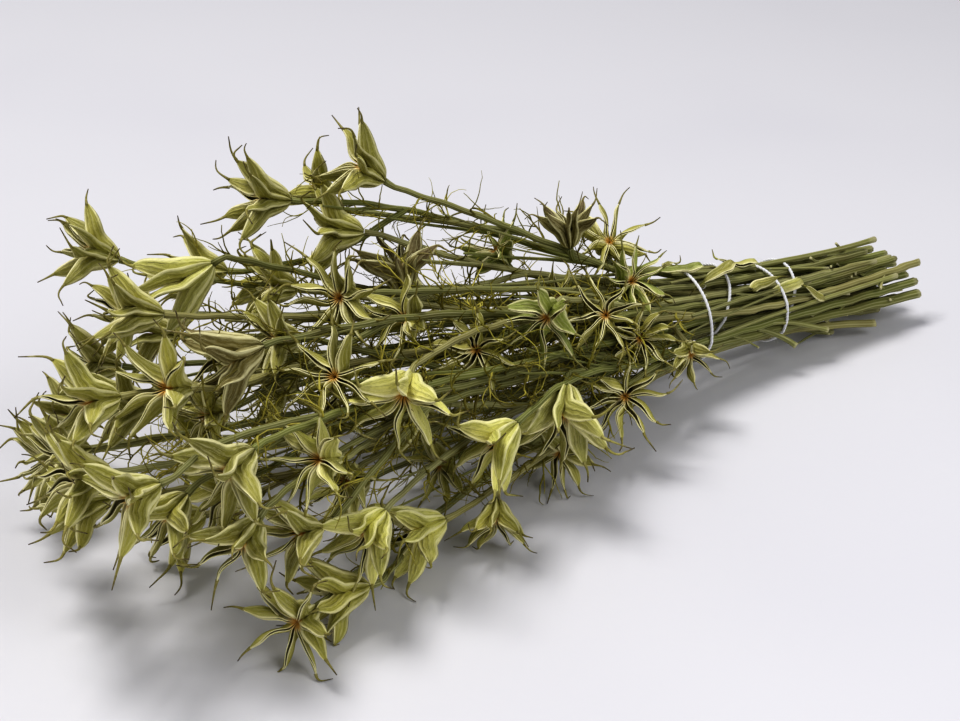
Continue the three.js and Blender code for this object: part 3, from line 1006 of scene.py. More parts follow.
@dataclass
class Piece:
    """One visible piece as it is gathered: points, faces, and the values that vary over its surface."""

    name: str
    node: str
    slot: str
    material: bpy.types.Material
    points: list[Array] = field(default_factory=list)
    quads: list[Array] = field(default_factory=list)
    tris: list[Array] = field(default_factory=list)
    values: dict[str, list[Array]] = field(default_factory=dict)
    tints: list[Array] = field(default_factory=list)
    grains: list[Array] = field(default_factory=list)
    count: int = 0

    VALUES: ClassVar[tuple[str, ...]] = ("lip", "inside", "across", "along", "heart", "ridge", "cut")

    def add_rings(
        self, rings: Array, tint: Array, grain: Array | None = None, **values: Array | float
    ) -> None:
        """Adds closed skins over rings, capped at both ends.

        Args:
            rings: The rings, as (skins, count, sides, 3).
            tint: Their colour, of a shape that spreads to (skins, count, sides, 3).
            grain: Where each point is in the grain of its material, as (skins, count, sides, 3), or None.
            values: Other values, of a shape that spreads to (skins, count, sides).
        """
        skins, count, sides = rings.shape[:3]
        base = self.count + np.arange(skins)[:, None, None] * count * sides
        row = np.arange(count - 1)[None, :, None] * sides
        side = np.arange(sides)[None, None]
        a, b = base + row + side, base + row + (side + 1) % sides
        self.quads.append(np.stack([a, b, b + sides, a + sides], axis=-1).reshape(-1, 4))
        fan = np.arange(1, sides - 1)[None]
        first = base[:, 0]
        last = first + (count - 1) * sides
        self.tris.append(np.stack([first + 0 * fan, first + fan + 1, first + fan], axis=-1).reshape(-1, 3))
        self.tris.append(np.stack([last + 0 * fan, last + fan, last + fan + 1], axis=-1).reshape(-1, 3))
        self.points.append(rings.reshape(-1, 3))
        self.tints.append(np.broadcast_to(tint, rings.shape).reshape(-1, 3))
        grain = rings * 0 if grain is None else np.broadcast_to(grain, rings.shape)
        self.grains.append(grain.reshape(-1, 3))
        for key in self.VALUES:
            spread = np.broadcast_to(values.get(key, 0.0), rings.shape[:3]).reshape(-1)
            self.values.setdefault(key, []).append(spread)
        self.count += skins * count * sides

    def build(self, shift: Array) -> bpy.types.Object:
        """Makes the piece in Blender and joins it to the frame.

        Args:
            shift: Where the bunch's own frame is in the shared one, in millimetres.

        Returns:
            The object.
        """
        mesh = bpy.data.meshes.new(self.name)
        places = (above_floor(np.vstack(self.points) + shift) * MM).astype(np.float32)
        quads, tris = np.vstack(self.quads), np.vstack(self.tris)
        corners = np.concatenate([quads.ravel(), tris.ravel()]).astype(np.int32)
        totals = np.concatenate([np.full(len(quads), 4), np.full(len(tris), 3)]).astype(np.int32)
        mesh.vertices.add(len(places))
        mesh.vertices.foreach_set("co", places.ravel())
        mesh.loops.add(len(corners))
        mesh.loops.foreach_set("vertex_index", corners)
        mesh.polygons.add(len(totals))
        starts = np.concatenate([[0], np.cumsum(totals)[:-1]]).astype(np.int32)
        mesh.polygons.foreach_set("loop_start", starts)
        mesh.polygons.foreach_set("loop_total", totals)
        mesh.polygons.foreach_set("use_smooth", np.ones(len(totals), bool))
        mesh.update(calc_edges=True)
        for key, gathered in self.values.items():
            whole = np.concatenate(gathered).astype(np.float32)
            if whole.any():
                mesh.attributes.new(key, "FLOAT", "POINT").data.foreach_set("value", whole)
        tint = np.hstack([np.vstack(self.tints), np.ones((len(places), 1))]).astype(np.float32)
        mesh.attributes.new("tint", "FLOAT_COLOR", "POINT").data.foreach_set("color", tint.ravel())
        grain = np.vstack(self.grains).astype(np.float32)
        if grain.any():
            mesh.attributes.new("grain", "FLOAT_VECTOR", "POINT").data.foreach_set("vector", grain.ravel())
        mesh.materials.append(self.material)
        piece = bpy.data.objects.new(self.name, mesh)
        bpy.context.scene.collection.objects.link(piece)
        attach(piece, "root")
        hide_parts(self.node)
        log.info("%s: %d points, %d faces", self.name, len(places), len(totals))
        return piece


# --------------------------------------------------------------------------------------------------
# Stems and thread leaves
# --------------------------------------------------------------------------------------------------


@dataclass
class Stem:
    """A ribbed stem or side shoot, with a swelling at each node and a pale cut end."""

    shoot: Shoot
    tint: Colour
    rng: np.random.Generator
    ribs: int = 8
    rib_depth: float = 0.055
    ring_step: float = 3.0
    twist: float = 0.004
    waver: float = 0.22
    waver_length: tuple[float, float] = (17.0, 33.0)
    neck_swell: float = 0.35
    node_swell: float = 0.2
    node_reach: float = 2.4
    node_spacing: tuple[float, float] = (38.0, 56.0)
    bare_tip: float = 14.0
    grain_round: float = 2.6
    grain_along: float = 0.02
    most_slant: float = 0.5
    bark_share: float = 0.8
    pith_share: float = 0.3
    pith_rise: float = 0.35

    def __post_init__(self) -> None:
        """Works out the stem's way and its radii."""
        spans = np.linalg.norm(np.diff(self.shoot.points, axis=0), axis=1)
        self.length = float(spans.sum())
        count = max(8, int(self.length / self.ring_step))
        share = np.linspace(0, 1, count)
        self.way = through(self.shoot.points, share)
        s = share * self.length
        hold = ease(0, 12, s) * ease(0, self.bare_tip, self.length - s)
        waves, phases = self.rng.uniform(*self.waver_length, 3), self.rng.uniform(*ANY_TURN, 3)
        for axis, (wave, phase) in enumerate(zip(waves, phases)):
            self.way[:, axis] += self.waver * hold * np.sin(s * 2 * math.pi / wave + phase)
        self.radii = self.shoot.thick + (self.shoot.TIP - self.shoot.thick) * share
        self.radii = self.radii * (1 + self.neck_swell * ease(6, 0, self.length - s))
        at = self.rng.uniform(12, 30) if self.shoot.main is None else self.rng.uniform(14, 26)
        while at < self.length - self.bare_tip:
            swell = self.node_swell * np.exp(-(((s - at) / self.node_reach) ** 2))
            self.radii = self.radii * (1 + swell)
            at += self.rng.uniform(*self.node_spacing)
        self.along = carried_frames(self.way)[0]

    def add_to(self, piece: Piece) -> None:
        """Adds the stem to a piece.

        Args:
            piece: The piece.
        """
        sides = 2 * self.ribs
        s = np.linspace(0, self.length, len(self.way))
        rib = np.where(np.arange(sides) % 2 == 0, 1.0, 0.0)
        radii = self.radii[:, None] * (1 - self.rib_depth + 2 * self.rib_depth * rib)
        rings = ringed(self.way, radii, sides, twist=self.twist * s + self.rng.uniform(*ANY_TURN))
        grain = np.empty(rings.shape)
        turn = np.arange(sides) * 2 * math.pi / sides
        grain[..., 0], grain[..., 1] = self.grain_round * np.cos(turn), self.grain_round * np.sin(turn)
        grain[..., 2] = self.grain_along * s[:, None] + self.rng.uniform(0, 50)
        cut = np.zeros(rings.shape[:2])
        if self.shoot.main is None:
            middle, first = rings[0].mean(0), rings[0].copy()
            slant = self.rng.uniform(-self.most_slant, self.most_slant, 2)
            off = first - middle
            first += self.along[0] * (off[:, 1:2] * slant[0] + off[:, 2:3] * slant[1])
            rings[0] = first
            face = middle + (first - middle) * self.bark_share
            pith = middle + (first - middle) * self.pith_share + self.pith_rise * self.along[0]
            rings = np.concatenate([[pith, face], rings])
            grain = np.concatenate([grain[:1], grain[:1], grain])
            cut = np.concatenate([np.full((2, sides), 1.0), np.full((1, sides), 0.7), cut[1:]])
        ridge = np.broadcast_to(rib, rings.shape[:2])
        piece.add_rings(rings[None], np.array(self.tint), grain[None], ridge=ridge[None], cut=cut[None])


@dataclass
class Stubs:
    """Short cut side twigs on a stem near its cut end."""

    stem: Stem
    rng: np.random.Generator
    reach: tuple[float, float] = (5.0, 15.0)
    thick: tuple[float, float] = (0.6, 1.0)
    from_x: float = 52.0
    points: int = 6
    sides: int = 8

    def add_to(self, piece: Piece) -> None:
        """Adds one or two stubs to a piece.

        Args:
            piece: The piece.
        """
        low = np.flatnonzero(self.stem.way[:, 0] > self.from_x)
        if len(low) < 4:
            return
        for _ in range(self.rng.integers(1, 3)):
            k = int(self.rng.choice(low[2:]))
            side = unit(np.cross(self.stem.along[k], self.rng.normal(size=3)))
            length = self.rng.uniform(*self.reach)
            t = np.linspace(0, 1, self.points)[:, None]
            lean = unit(0.85 * self.stem.along[k] + 0.5 * side)
            bow = self.stem.radii[k] * 0.5 + 0.1 * length * t * t
            way = self.stem.way[k] + length * t * lean + side * bow
            radii = np.interp(t[:, 0], [0, 0.15, 1], [1.35, 1.0, 0.85]) * self.rng.uniform(*self.thick)
            rings = ringed(way, radii, self.sides)[None]
            cut = np.where(t >= 0.99, 1.0, 0.0) * np.ones(self.sides)
            ridge = np.broadcast_to(np.arange(self.sides) % 2, cut.shape)
            piece.add_rings(rings, np.array(self.stem.tint), ridge=ridge[None], cut=cut[None])


@dataclass
class ThreadLeaves:
    """Tufts of dry thread leaves along a stem: curled midribs with side threads."""

    stem: Stem
    tint: Colour
    rng: np.random.Generator
    points: int = 11
    midrib: tuple[float, float] = (14.0, 36.0)
    thread: tuple[float, float] = (8.0, 22.0)
    spacing: tuple[float, float] = (7.0, 15.0)
    bare_tip: float = 15.0
    width: float = 0.66
    thread_width: float = 0.68
    flat: float = 0.6
    sides: int = 5
    curls: tuple[float, float] = (2.4, 3.4)
    jitter: float = 0.13
    grown_from: tuple[float, float] = (-44.0, -90.0)
    # How far across and how high the bunch's middle is, among the pods and nearer to the tie.
    middles: tuple[tuple[float, float], tuple[float, float]] = ((-8.0, 58.0), (-8.0, 38.0))
    pods_from: float = -120.0

    def curled(self, starts: Array, ways: Array, lengths: Array, curl: float) -> Array:
        """Ways that wander and curl as they grow.

        Args:
            starts: Where they start, one row each.
            ways: The directions that they start in.
            lengths: Their lengths.
            curl: How much they bend in all, in radians.

        Returns:
            The ways, as (count, points, 3).
        """
        count = len(starts)
        step = (lengths / (self.points - 1))[:, None]
        bend = unit(np.cross(ways, self.rng.normal(size=(count, 3))))
        bend *= (curl * self.rng.uniform(0.2, 1.0, (count, 1))) / (self.points - 1)
        made = [starts]
        heading = ways
        for k in range(self.points - 1):
            jitter = self.rng.normal(0, self.jitter, (count, 3))
            grow = 0.4 + 1.4 * k / self.points
            heading = unit(heading + bend * grow + jitter)
            made.append(made[-1] + heading * step)
        return np.stack(made, axis=1)

    def add_to(self, piece: Piece) -> None:
        """Adds every tuft to a piece.

        Args:
            piece: The piece.
        """
        starts, ways, lengths = [], [], []
        last = len(self.stem.way) - 1
        for s in np.cumsum(self.rng.uniform(*self.spacing, 80)):
            k = int(s / self.stem.length * last)
            if s > self.stem.length - self.bare_tip:
                break
            x = self.stem.way[k, 0]
            if x > self.grown_from[0]:
                continue
            full = float(ease(*self.grown_from, np.array(x)))
            middle = self.middles[0] if x < self.pods_from else self.middles[1]
            inward = np.array([0.0, *middle]) - self.stem.way[k] * np.array([0, 1, 1])
            side = unit(np.cross(self.stem.along[k], self.rng.normal(size=3)) + 0.016 * inward)
            starts.append(self.stem.way[k] + side * self.stem.radii[k] * 0.7)
            ways.append(unit(0.8 * self.stem.along[k] + self.rng.uniform(0.25, 0.85) * side))
            lengths.append(self.rng.uniform(*self.midrib) * (0.4 + 0.6 * full))
        if not starts:
            return
        starts, ways, lengths = np.array(starts), np.array(ways), np.array(lengths)
        ribs = self.curled(starts, ways, lengths, self.curls[0])
        side_starts, side_ways, side_lengths = [], [], []
        for rib, length in zip(ribs, lengths):
            for _ in range(self.rng.integers(2, 5)):
                k = int(self.rng.integers(2, self.points - 3))
                ahead = unit(rib[k + 1] - rib[k])
                side = unit(np.cross(ahead, self.rng.normal(size=3)))
                side_starts.append(rib[k])
                side_ways.append(unit(ahead + 0.8 * side))
                side_lengths.append(min(self.rng.uniform(*self.thread), 0.75 * length))
        threads = self.curled(*map(np.array, (side_starts, side_ways, side_lengths)), self.curls[1])
        taper = np.linspace(1, 0.3, self.points)
        for made, scale in ((ribs, 1.0), (threads, self.thread_width)):
            widths = self.width * scale * self.rng.uniform(0.75, 1.25, (len(made), 1)) * taper
            shade = self.rng.uniform(0.8, 1.4, (len(made), 1, 1, 1))
            turn = np.cumsum(self.rng.normal(0, 0.12, widths.shape), axis=1)
            piece.add_rings(ringed(made, widths, self.sides, self.flat, turn), np.array(self.tint) * shade)


@dataclass
class Twigs:
    """Thin bare side twigs that lie along a main stem among the others."""

    stem: Stem
    rng: np.random.Generator
    count: tuple[int, int] = (3, 6)
    reach: tuple[float, float] = (45.0, 125.0)
    thick: tuple[float, float] = (0.5, 0.95)
    points: int = 18
    sides: int = 8
    from_x: float = -30.0
    bare_tip: float = 45.0
    middle: tuple[float, float, float] = (0.0, -10.0, 55.0)

    def add_to(self, piece: Piece) -> None:
        """Adds the twigs to a piece.

        Args:
            piece: The piece.
        """
        x, end = self.stem.way[:, 0], self.stem.way[-1, 0]
        spots = np.flatnonzero((x < self.from_x) & (x > end + self.bare_tip))
        if len(spots) < 4:
            return
        count = int(self.rng.integers(*self.count))
        k = self.rng.choice(spots, count)
        room = 0.85 * (x[k] - end)[:, None, None]
        ahead = self.stem.along[k]
        inward = np.array(self.middle) - self.stem.way[k] * np.array([0, 1, 1])
        side = unit(inward) + 0.6 * unit(self.rng.normal(size=(count, 3)))
        side = unit(side - dot(side, ahead) * ahead)
        length = np.minimum(self.rng.uniform(*self.reach, (count, 1, 1)), room)
        t = np.linspace(0, 1, self.points)[None, :, None]
        lean = unit(ahead + self.rng.uniform(0.05, 0.26, (count, 1)) * side)
        curve = 0.08 * length * self.rng.uniform(-1, 1, (count, 1, 1)) * t * t * side[:, None]
        waver = 0.7 * np.sin(t * self.rng.uniform(5, 11, (count, 1, 1))) * np.cross(ahead, side)[:, None]
        ways = self.stem.way[k][:, None] + length * t * lean[:, None] + curve + waver * t
        taper = np.interp(t[..., 0], [0, 0.06, 1], [1.5, 1.0, 0.55])
        radii = self.rng.uniform(*self.thick, (count, 1)) * taper
        around = np.arange(self.sides)
        ridge = np.broadcast_to(around % 2, (count, self.points, self.sides))
        grain = np.stack([np.cos(around), np.sin(around), 0 * around], axis=-1) + 6 * t[..., None]
        tint = np.array(self.stem.tint) * self.rng.uniform(0.8, 1.2, (count, 1, 1, 1))
        piece.add_rings(ringed(ways, radii, self.sides), tint, grain, ridge=ridge)


@dataclass
class CaughtTwigs:
    """Broken twigs that the cord has caught: some lie over the stems, and some stick out below."""

    binding: Binding
    tint: Colour
    rng: np.random.Generator
    points: int = 24
    sides: int = 10
    bed: float = 0.6
    # Each: how far along and how far round from the top, in degrees, at its start and at its end, how far out
    # from the stems its end is, and its radius.
    rows: tuple[tuple[float, ...], ...] = (
        *((-44, -24, 72, 22, 0, 0.95), (-40, 28, 60, -26, 0, 0.7), (-40, -66, 92, -28, 1, 1.15)),
        *((-44, -84, 44, -44, 0, 0.65), (-24, -98, 100, -58, 2, 1.2), (-38, -8, 104, 12, 5, 1.4)),
        *((6, -108, 23, -116, 12, 1.4), (12, -98, 46, -110, 9, 1.15), (-14, -104, -1, -112, 9, 0.45)),
        *((32, -116, 54, -130, 6, 0.5), (-30, 48, 34, 70, 2, 0.8), (-8, -48, 66, -74, 1, 0.6)),
    )

    def add_to(self, piece: Piece) -> None:
        """Adds the twigs to a piece.

        Args:
            piece: The piece.
        """
        t = np.linspace(0, 1, self.points)
        for start, turn, end, end_turn, out, radius in self.rows:
            x = start + (end - start) * t
            a = np.radians(turn + (end_turn - turn) * t)
            r = self.binding.radius(x) - self.bed + out * t**2
            r = r + 0.35 * np.sin(t * self.rng.uniform(5, 12) + self.rng.uniform(*ANY_TURN))
            way = np.stack([x, r * np.sin(a), self.binding.middle(x) + r * np.cos(a)], axis=1)
            radii = radius * np.interp(t, [0, 0.5, 0.93, 1], [0.7, 0.95, 1.0, 1.15])
            around = np.arange(self.sides)
            grain = np.stack([np.cos(around), np.sin(around), 0 * around], axis=-1) + 4 * t[:, None, None]
            ridge = np.broadcast_to(around % 2, (self.points, self.sides))
            cut = np.broadcast_to((t > 0.98)[:, None] * 1.0, ridge.shape)
            tint = np.array(self.tint) * self.rng.uniform(0.85, 1.25)
            rings = ringed(way, radii, self.sides)[None]
            piece.add_rings(rings, tint, grain[None], ridge=ridge[None], cut=cut[None])


# --------------------------------------------------------------------------------------------------
# Pods
# --------------------------------------------------------------------------------------------------


@dataclass
class Lobes:
    """The lobes of one pod: keeled boats that are joined at the base and split open along their inner edge.

    A lobe is laid out in a plane through the pod's axis, with its distance from the axis and its height above
    the stem. The keel is its outer edge, the lips meet along its inner edge, and a beak grows from its tip.
    The stops are places along it, where the outs and ups say how far out and up the keel and the lips are.
    Across it, 0 is the keel and 1 the lips.
    """

    count: int
    opened: Array
    rng: np.random.Generator
    slender: float = 1.0
    stations: int = 21
    pivot: tuple[float, float] = (2.5, 11.5)
    cheek_ribs: tuple[float, ...] = (0.17, 0.34, 0.51, 0.69)
    cheek_rib_size: tuple[float, float] = (0.18, 0.035)
    joined: float = 0.985
    lip_gap: float = 0.2
    lip_edge: float = 0.16
    bulges: tuple[float, float] = (0.6, 1.1)
    skin: float = 0.3
    keel_edge: float = 0.55
    beak_points: int = 10
    beak_sides: int = 6
    beak_length: tuple[float, float] = (6.5, 12.5)
    beak_width: tuple[float, float] = (0.72, 0.2)
    uneven_spread: tuple[float, float] = (-14.0, 18.0)
    most_twist: float = 66.0
    most_sweep: float = 3.6
    most_shift: float = 9.0
    wave_heights: tuple[float, float] = (0.3, 1.2)
    ruffle: float = 0.5

    stops: ClassVar[Array] = np.array([0, 0.15, 0.3, 0.45, 0.6, 0.75, 0.9, 1.0])
    keel_out: ClassVar[Array] = np.array([1.2, 4.0, 6.2, 8.3, 11.2, 13.9, 15.6, 16.4])
    keel_up: ClassVar[Array] = np.array([0.0, 2.4, 5.8, 9.6, 12.7, 16.4, 20.4, 22.6])
    lips_out: ClassVar[Array] = np.array([0.0, 0.15, 0.2, 0.5, 3.0, 7.4, 12.7, 15.8])
    lips_up: ClassVar[Array] = np.array([0.2, 3.0, 7.5, 12.2, 15.8, 19.4, 22.4, 23.5])
    cheek: ClassVar[Array] = np.array([1, 0.94, 0.87, 0.78, 0.69, 0.6, 0.51, 0.42, 0.34, 0.26, 0.17, 0.06])
    across_out: ClassVar[Array] = np.concatenate([cheek, [0], cheek[::-1]])
    across_in: ClassVar[Array] = np.array([0.97, 0.8, 0.55, 0.3, 0.55, 0.8, 0.97])
    beak_values: ClassVar[dict[str, float]] = {"across": 0.22, "along": 1.0}

    def half_width(self, t: Array, s: Array, out: Array) -> Array:
        """Half of a lobe's thickness.

        Args:
            t: How far along the lobe, from the stem to the tip.
            s: How far across it, from the keel to the lips.
            out: The distance from the pod's axis.

        Returns:
            The half thickness, as (count, stations, across).
        """
        wedge = math.tan(math.pi / self.count) * out * self.joined
        wedge = wedge * np.minimum(s / 0.44, 1) ** 0.75
        gap = self.lip_gap + np.maximum(self.rng.uniform(-0.8, 0.8, (self.count, 1, 1)), 0.0)
        bulge = self.rng.uniform(*self.bulges, (self.count, 1, 1))
        fade = np.interp(t, [0.36, 0.5, 0.68, 0.85, 1], [1.0, 1.0, 0.9, 0.5, 0.0])
        leaf = fade * (gap * s**1.5 + bulge * np.sin(math.pi * s**0.8)) + 0.2 * np.minimum(s / 0.06, 1)
        free = ease(0.36, 0.56, t)
        height, width = self.cheek_rib_size
        ribs = sum(height * np.exp(-(((s - rib) / width) ** 2)) for rib in self.cheek_ribs)
        leaf = leaf + self.lip_edge * ease(0.86, 0.95, s) * fade
        return wedge * (1 - free) + leaf * free + ribs * ease(0.03, 0.2, t) * (1 - ease(0.8, 1.0, t))

    def bent(self, t: Array, s: Array, lateral: Array) -> Array:
        """Places the lobes' points round the pod's axis, opened, twisted and swept as they have dried.

        Args:
            t: How far along, as (stations, 1).
            s: How far across, as (across,).
            lateral: How far to the side of the lobe's own plane, as (count, stations, across).

        Returns:
            The points in the pod's frame, as (count, stations, across, 3).
        """
        keel = [soft_table(t, self.stops, v) for v in (self.keel_out, self.keel_up)]
        lips = [soft_table(t, self.stops, v) for v in (self.lips_out, self.lips_up)]
        middle = np.concatenate([0.5 * (a + b) for a, b in zip(keel, lips)], axis=1)
        chord = np.concatenate([b - a for a, b in zip(keel, lips)], axis=1)
        depth = np.maximum(np.linalg.norm(chord, axis=1, keepdims=True), 1e-6)
        chord = chord / depth
        wide = (s - 0.5) * depth * (1 - (1 - self.slender) * ease(0.3, 0.55, t))
        ends = ease(1.0, 0.85, t)
        wide = wide - self.keel_edge * np.exp(-((s / 0.045) ** 2)) * ease(0.02, 0.15, t) * ends
        twist = self.twists * ease(0.4, 0.95, t)
        inward = wide * np.cos(twist) - lateral * np.sin(twist)
        side = wide * np.sin(twist) + lateral * np.cos(twist)
        out = middle[:, :1] + inward * chord[:, :1]
        up = middle[:, 1:] + inward * chord[:, 1:]
        wave = self.waves * np.sin(9 * t + self.phases) * ease(0.35, 0.6, t)
        ruffle = self.ruffle * np.sin(17 * t + 2.5 * s + 2 * self.phases) * s**2 * ease(0.38, 0.55, t) * ends
        side = side + self.sweeps * ease(0.4, 1.0, t) ** 1.5 + wave + ruffle
        turn = self.spreads * ease(0.26, 0.75, t)
        out, up = out - self.pivot[0], up - self.pivot[1]
        out, up = (
            out * np.cos(turn) + up * np.sin(turn) + self.pivot[0],
            up * np.cos(turn) - out * np.sin(turn) + self.pivot[1],
        )
        round_turn = self.rounds + self.shifts * ease(0.3, 0.8, t)
        c, q = np.cos(round_turn), np.sin(round_turn)
        return np.stack([out * c - side * q, out * q + side * c, up], axis=-1)

    def make(self) -> tuple[Array, dict[str, Array], Array, Array]:
        """Makes the lobes and beaks in the pod's own frame, with its axis along z.

        Returns:
            The lobes' rings, the values over them, the beaks' ways, and how far along each beak's points are.
        """
        n, draw = self.count, self.rng.uniform
        self.rounds = (np.arange(n) * 2 * math.pi / n)[:, None, None]
        self.spreads = np.radians(self.opened + draw(*self.uneven_spread, n))[:, None, None]
        twists = draw(-self.most_twist, self.most_twist, n) * draw(0, 1, n) ** 0.7
        self.twists = np.radians(twists)[:, None, None]
        self.sweeps = draw(-self.most_sweep, self.most_sweep, (n, 1, 1))
        self.shifts = np.radians(draw(-self.most_shift, self.most_shift, n))[:, None, None]
        self.waves, self.phases = draw(*self.wave_heights, (n, 1, 1)), draw(*ANY_TURN, (n, 1, 1))
        t = np.linspace(0, 1, self.stations)[:, None]
        outer, inner = self.across_out, self.across_in
        mid = len(outer) // 2
        sides = np.sign(np.arange(len(outer)) - mid)
        keel_out, lips_out = (soft_table(t, self.stops, v) for v in (self.keel_out, self.lips_out))
        half = self.half_width(t, outer, keel_out * (1 - outer) + lips_out * outer)
        within = np.interp(inner[: len(inner) // 2 + 1], outer[mid:], np.arange(mid + 1))
        low = np.floor(within).astype(int).clip(0, mid - 1)
        share = within - low
        part = half[..., mid + low] * (1 - share) + half[..., mid + 1 + low] * share
        part = np.maximum(part - self.skin, 0.12 * part)
        part[..., -1] *= 0
        inside = np.concatenate([part[..., :-1], -part[..., ::-1]], axis=-1)
        lateral = np.concatenate([half * sides, inside], axis=-1)
        s = np.concatenate([outer, inner])
        rings = self.bent(t, s, lateral)
        grown = np.broadcast_to(t, rings.shape[1:3])
        lip = np.concatenate([ease(0.82, 0.95, outer), 1 - 0.9 * ease(0.95, 0.7, inner)])
        values = {
            "lip": lip * ease(0.2, 0.4, grown),
            "inside": np.concatenate([outer * 0, np.ones(len(inner))]) + grown * 0,
            "across": s + grown * 0,
            "along": grown,
            "heart": ease(3.4, 0.9, np.linalg.norm(rings[..., :2], axis=-1)) * ease(0.25, 0.42, grown),
        }
        tip = rings[:, -1].mean(1)
        heading = unit(tip - rings[:, -4].mean(1))
        ahead = np.linspace(0, 1, self.beak_points)
        out_way = np.concatenate([unit(tip[:, :2]), np.zeros((n, 1))], axis=1)
        sideways = np.cross(out_way, np.array([0, 0, 1.0]))
        curl = (np.radians(draw(-70, 125, (n, 1))), np.radians(draw(-60, 60, (n, 1))))
        step = (draw(*self.beak_length, n) / (self.beak_points - 1))[:, None]
        bends = np.exp(-(((ahead[1:] - draw(0.15, 0.8, (n, 1))) / 0.24) ** 2))
        bends /= bends.sum(1, keepdims=True)
        ways = [tip - heading * 0.6]
        for bend in bends.T[..., None]:
            down = unit(np.cross(np.cross(heading, out_way - np.array([0, 0, 0.9])), heading))
            heading = unit(heading + (down * curl[0] + sideways * curl[1]) * bend)
            ways.append(ways[-1] + heading * step)
        return rings, values, np.stack(ways, axis=1), ahead


@dataclass
class Pod:
    """One pod in its place: its lobes, and the colours that it has dried to."""

    place: PodPlace
    rng: np.random.Generator
    usual_spread: float = 6.0
    lobe_counts: tuple[int, ...] = (8, 8, 9, 10)
    # How slender the lobes are at three openings, in degrees.
    slender_at: tuple[float, ...] = (-14.0, 2.0, 16.0)
    slender: tuple[float, ...] = (0.95, 0.88, 0.7)
    lobe_shades: tuple[float, float] = (0.92, 1.3)
    pod_shades: tuple[float, float] = (0.9, 1.3)

    def add_to(self, piece: Piece) -> None:
        """Adds the pod to a piece.

        Args:
            piece: The piece.
        """
        face, size = self.place.face, self.place.size
        side = unit(np.cross(face, np.array([0.2, 0.1, 1.0])))
        over = np.cross(face, side)
        turn = self.rng.uniform(*ANY_TURN)
        c, q = math.cos(turn), math.sin(turn)
        side, over = side * c + over * q, over * c - side * q
        count = int(self.rng.choice(self.lobe_counts))
        opened = self.usual_spread + self.place.opened
        slender = float(np.interp(self.place.opened, self.slender_at, self.slender))
        lobes = Lobes(count, np.full(count, opened), self.rng, slender)
        rings, values, beaks, ahead = lobes.make()

        def put(points: Array) -> Array:
            """Points of the pod's frame in the bunch's."""
            own = points[..., :1] * side + points[..., 1:2] * over + points[..., 2:] * face
            return self.place.base + size * own

        keel, cheek = HUSK_TONES[self.place.look]
        shade = self.rng.uniform(*self.lobe_shades, (count, 1, 1, 1)) * self.rng.uniform(*self.pod_shades)
        pale = self.rng.uniform(0, 1, (count, 1, 1, 1))
        tint = blend(keel, cheek, np.clip(values["across"][None, ..., None] * 0.7 + 0.5 * pale, 0, 1)) * shade
        if self.place.look is PodLook.BROWN:
            stain = ease(0.35, 0.8, values["along"])[None, ..., None]
            tint = blend(tint, VIOLET, stain * self.rng.uniform(0, 0.5, (count, 1, 1, 1)))
        piece.add_rings(put(rings), tint, **values)
        root, end = lobes.beak_width
        width = size * np.interp(ahead, [0, 0.3, 1], [root, 0.65 * root, end])
        tone = blend(blend(keel, BEAK_TAN, 0.6), BEAK_DARK, ease(0.45, 1.0, ahead)[:, None])
        thin = np.broadcast_to(width, beaks.shape[:2])
        piece.add_rings(ringed(put(beaks), thin, lobes.beak_sides), tone[None, :, None], **lobes.beak_values)


@dataclass
class CaughtLobes:
    """Broken-off lobes of pods that lie caught on top of the stems by the tie."""

    binding: Binding
    rng: np.random.Generator
    proud: float = 2.2
    tilt: float = 0.9
    lobes: int = 7
    broken_at: int = 6
    middle: tuple[float, float, float] = (9.0, 0.0, 16.0)
    # Each: how far along, how far round from the top and which way it points, in degrees, its size, its look.
    spots: tuple[tuple[float, float, float, float, PodLook], ...] = (
        (-32, -4, 170, 0.85, PodLook.GREEN),
        (-27, 22, 40, 0.7, PodLook.OLIVE),
        (-12, -14, 200, 0.9, PodLook.OLIVE),
        (6, 4, 160, 0.8, PodLook.STRAW),
        (12, -38, 20, 0.75, PodLook.OLIVE),
        (24, -48, 190, 0.8, PodLook.STRAW),
        (40, -62, 150, 0.6, PodLook.OLIVE),
    )

    def add_to(self, piece: Piece) -> None:
        """Adds the lobes to a piece.

        Args:
            piece: The piece.
        """
        for x, around, heading, size, look in self.spots:
            made = Lobes(self.lobes, np.zeros(self.lobes), self.rng)
            rings, whole, beaks, ahead = made.make()
            one, beak = rings[:1, self.broken_at :], beaks[:1]
            values = {key: whole[key][self.broken_at :] for key in ("lip", "inside", "across", "along")}
            a, b = math.radians(around), math.radians(heading)
            out = np.array([0, math.sin(a), math.cos(a)])
            round_way = np.array([0, math.cos(a), -math.sin(a)])
            ahead_way = math.cos(b) * np.array([1.0, 0, 0]) + math.sin(b) * round_way
            flat_way = np.cross(out, ahead_way)
            across_way = math.cos(self.tilt) * ahead_way - math.sin(self.tilt) * flat_way
            axes = np.stack([across_way, out, 0.9 * ahead_way + 0.3 * flat_way])
            r = float(self.binding.radius(x)) + self.proud
            home = np.array([x, r * math.sin(a), float(self.binding.middle(x)) + r * math.cos(a)])

            def put(points: Array) -> Array:
                """Points of the lobe's frame in the bunch's."""
                return home + size * ((points - np.array(self.middle)) @ axes)

            keel, cheek = HUSK_TONES[look]
            tint = blend(keel, cheek, values["across"][None, ..., None])
            piece.add_rings(put(one), tint, **values)
            tone = blend(keel, BEAK_DARK, ahead[:, None])
            width = size * np.interp(ahead, [0, 1], made.beak_width)
            thin = np.broadcast_to(width, beak.shape[:2])
            piece.add_rings(ringed(put(beak), thin, made.beak_sides), tone[None, :, None], **made.beak_values)


# --------------------------------------------------------------------------------------------------
# The cord
# --------------------------------------------------------------------------------------------------


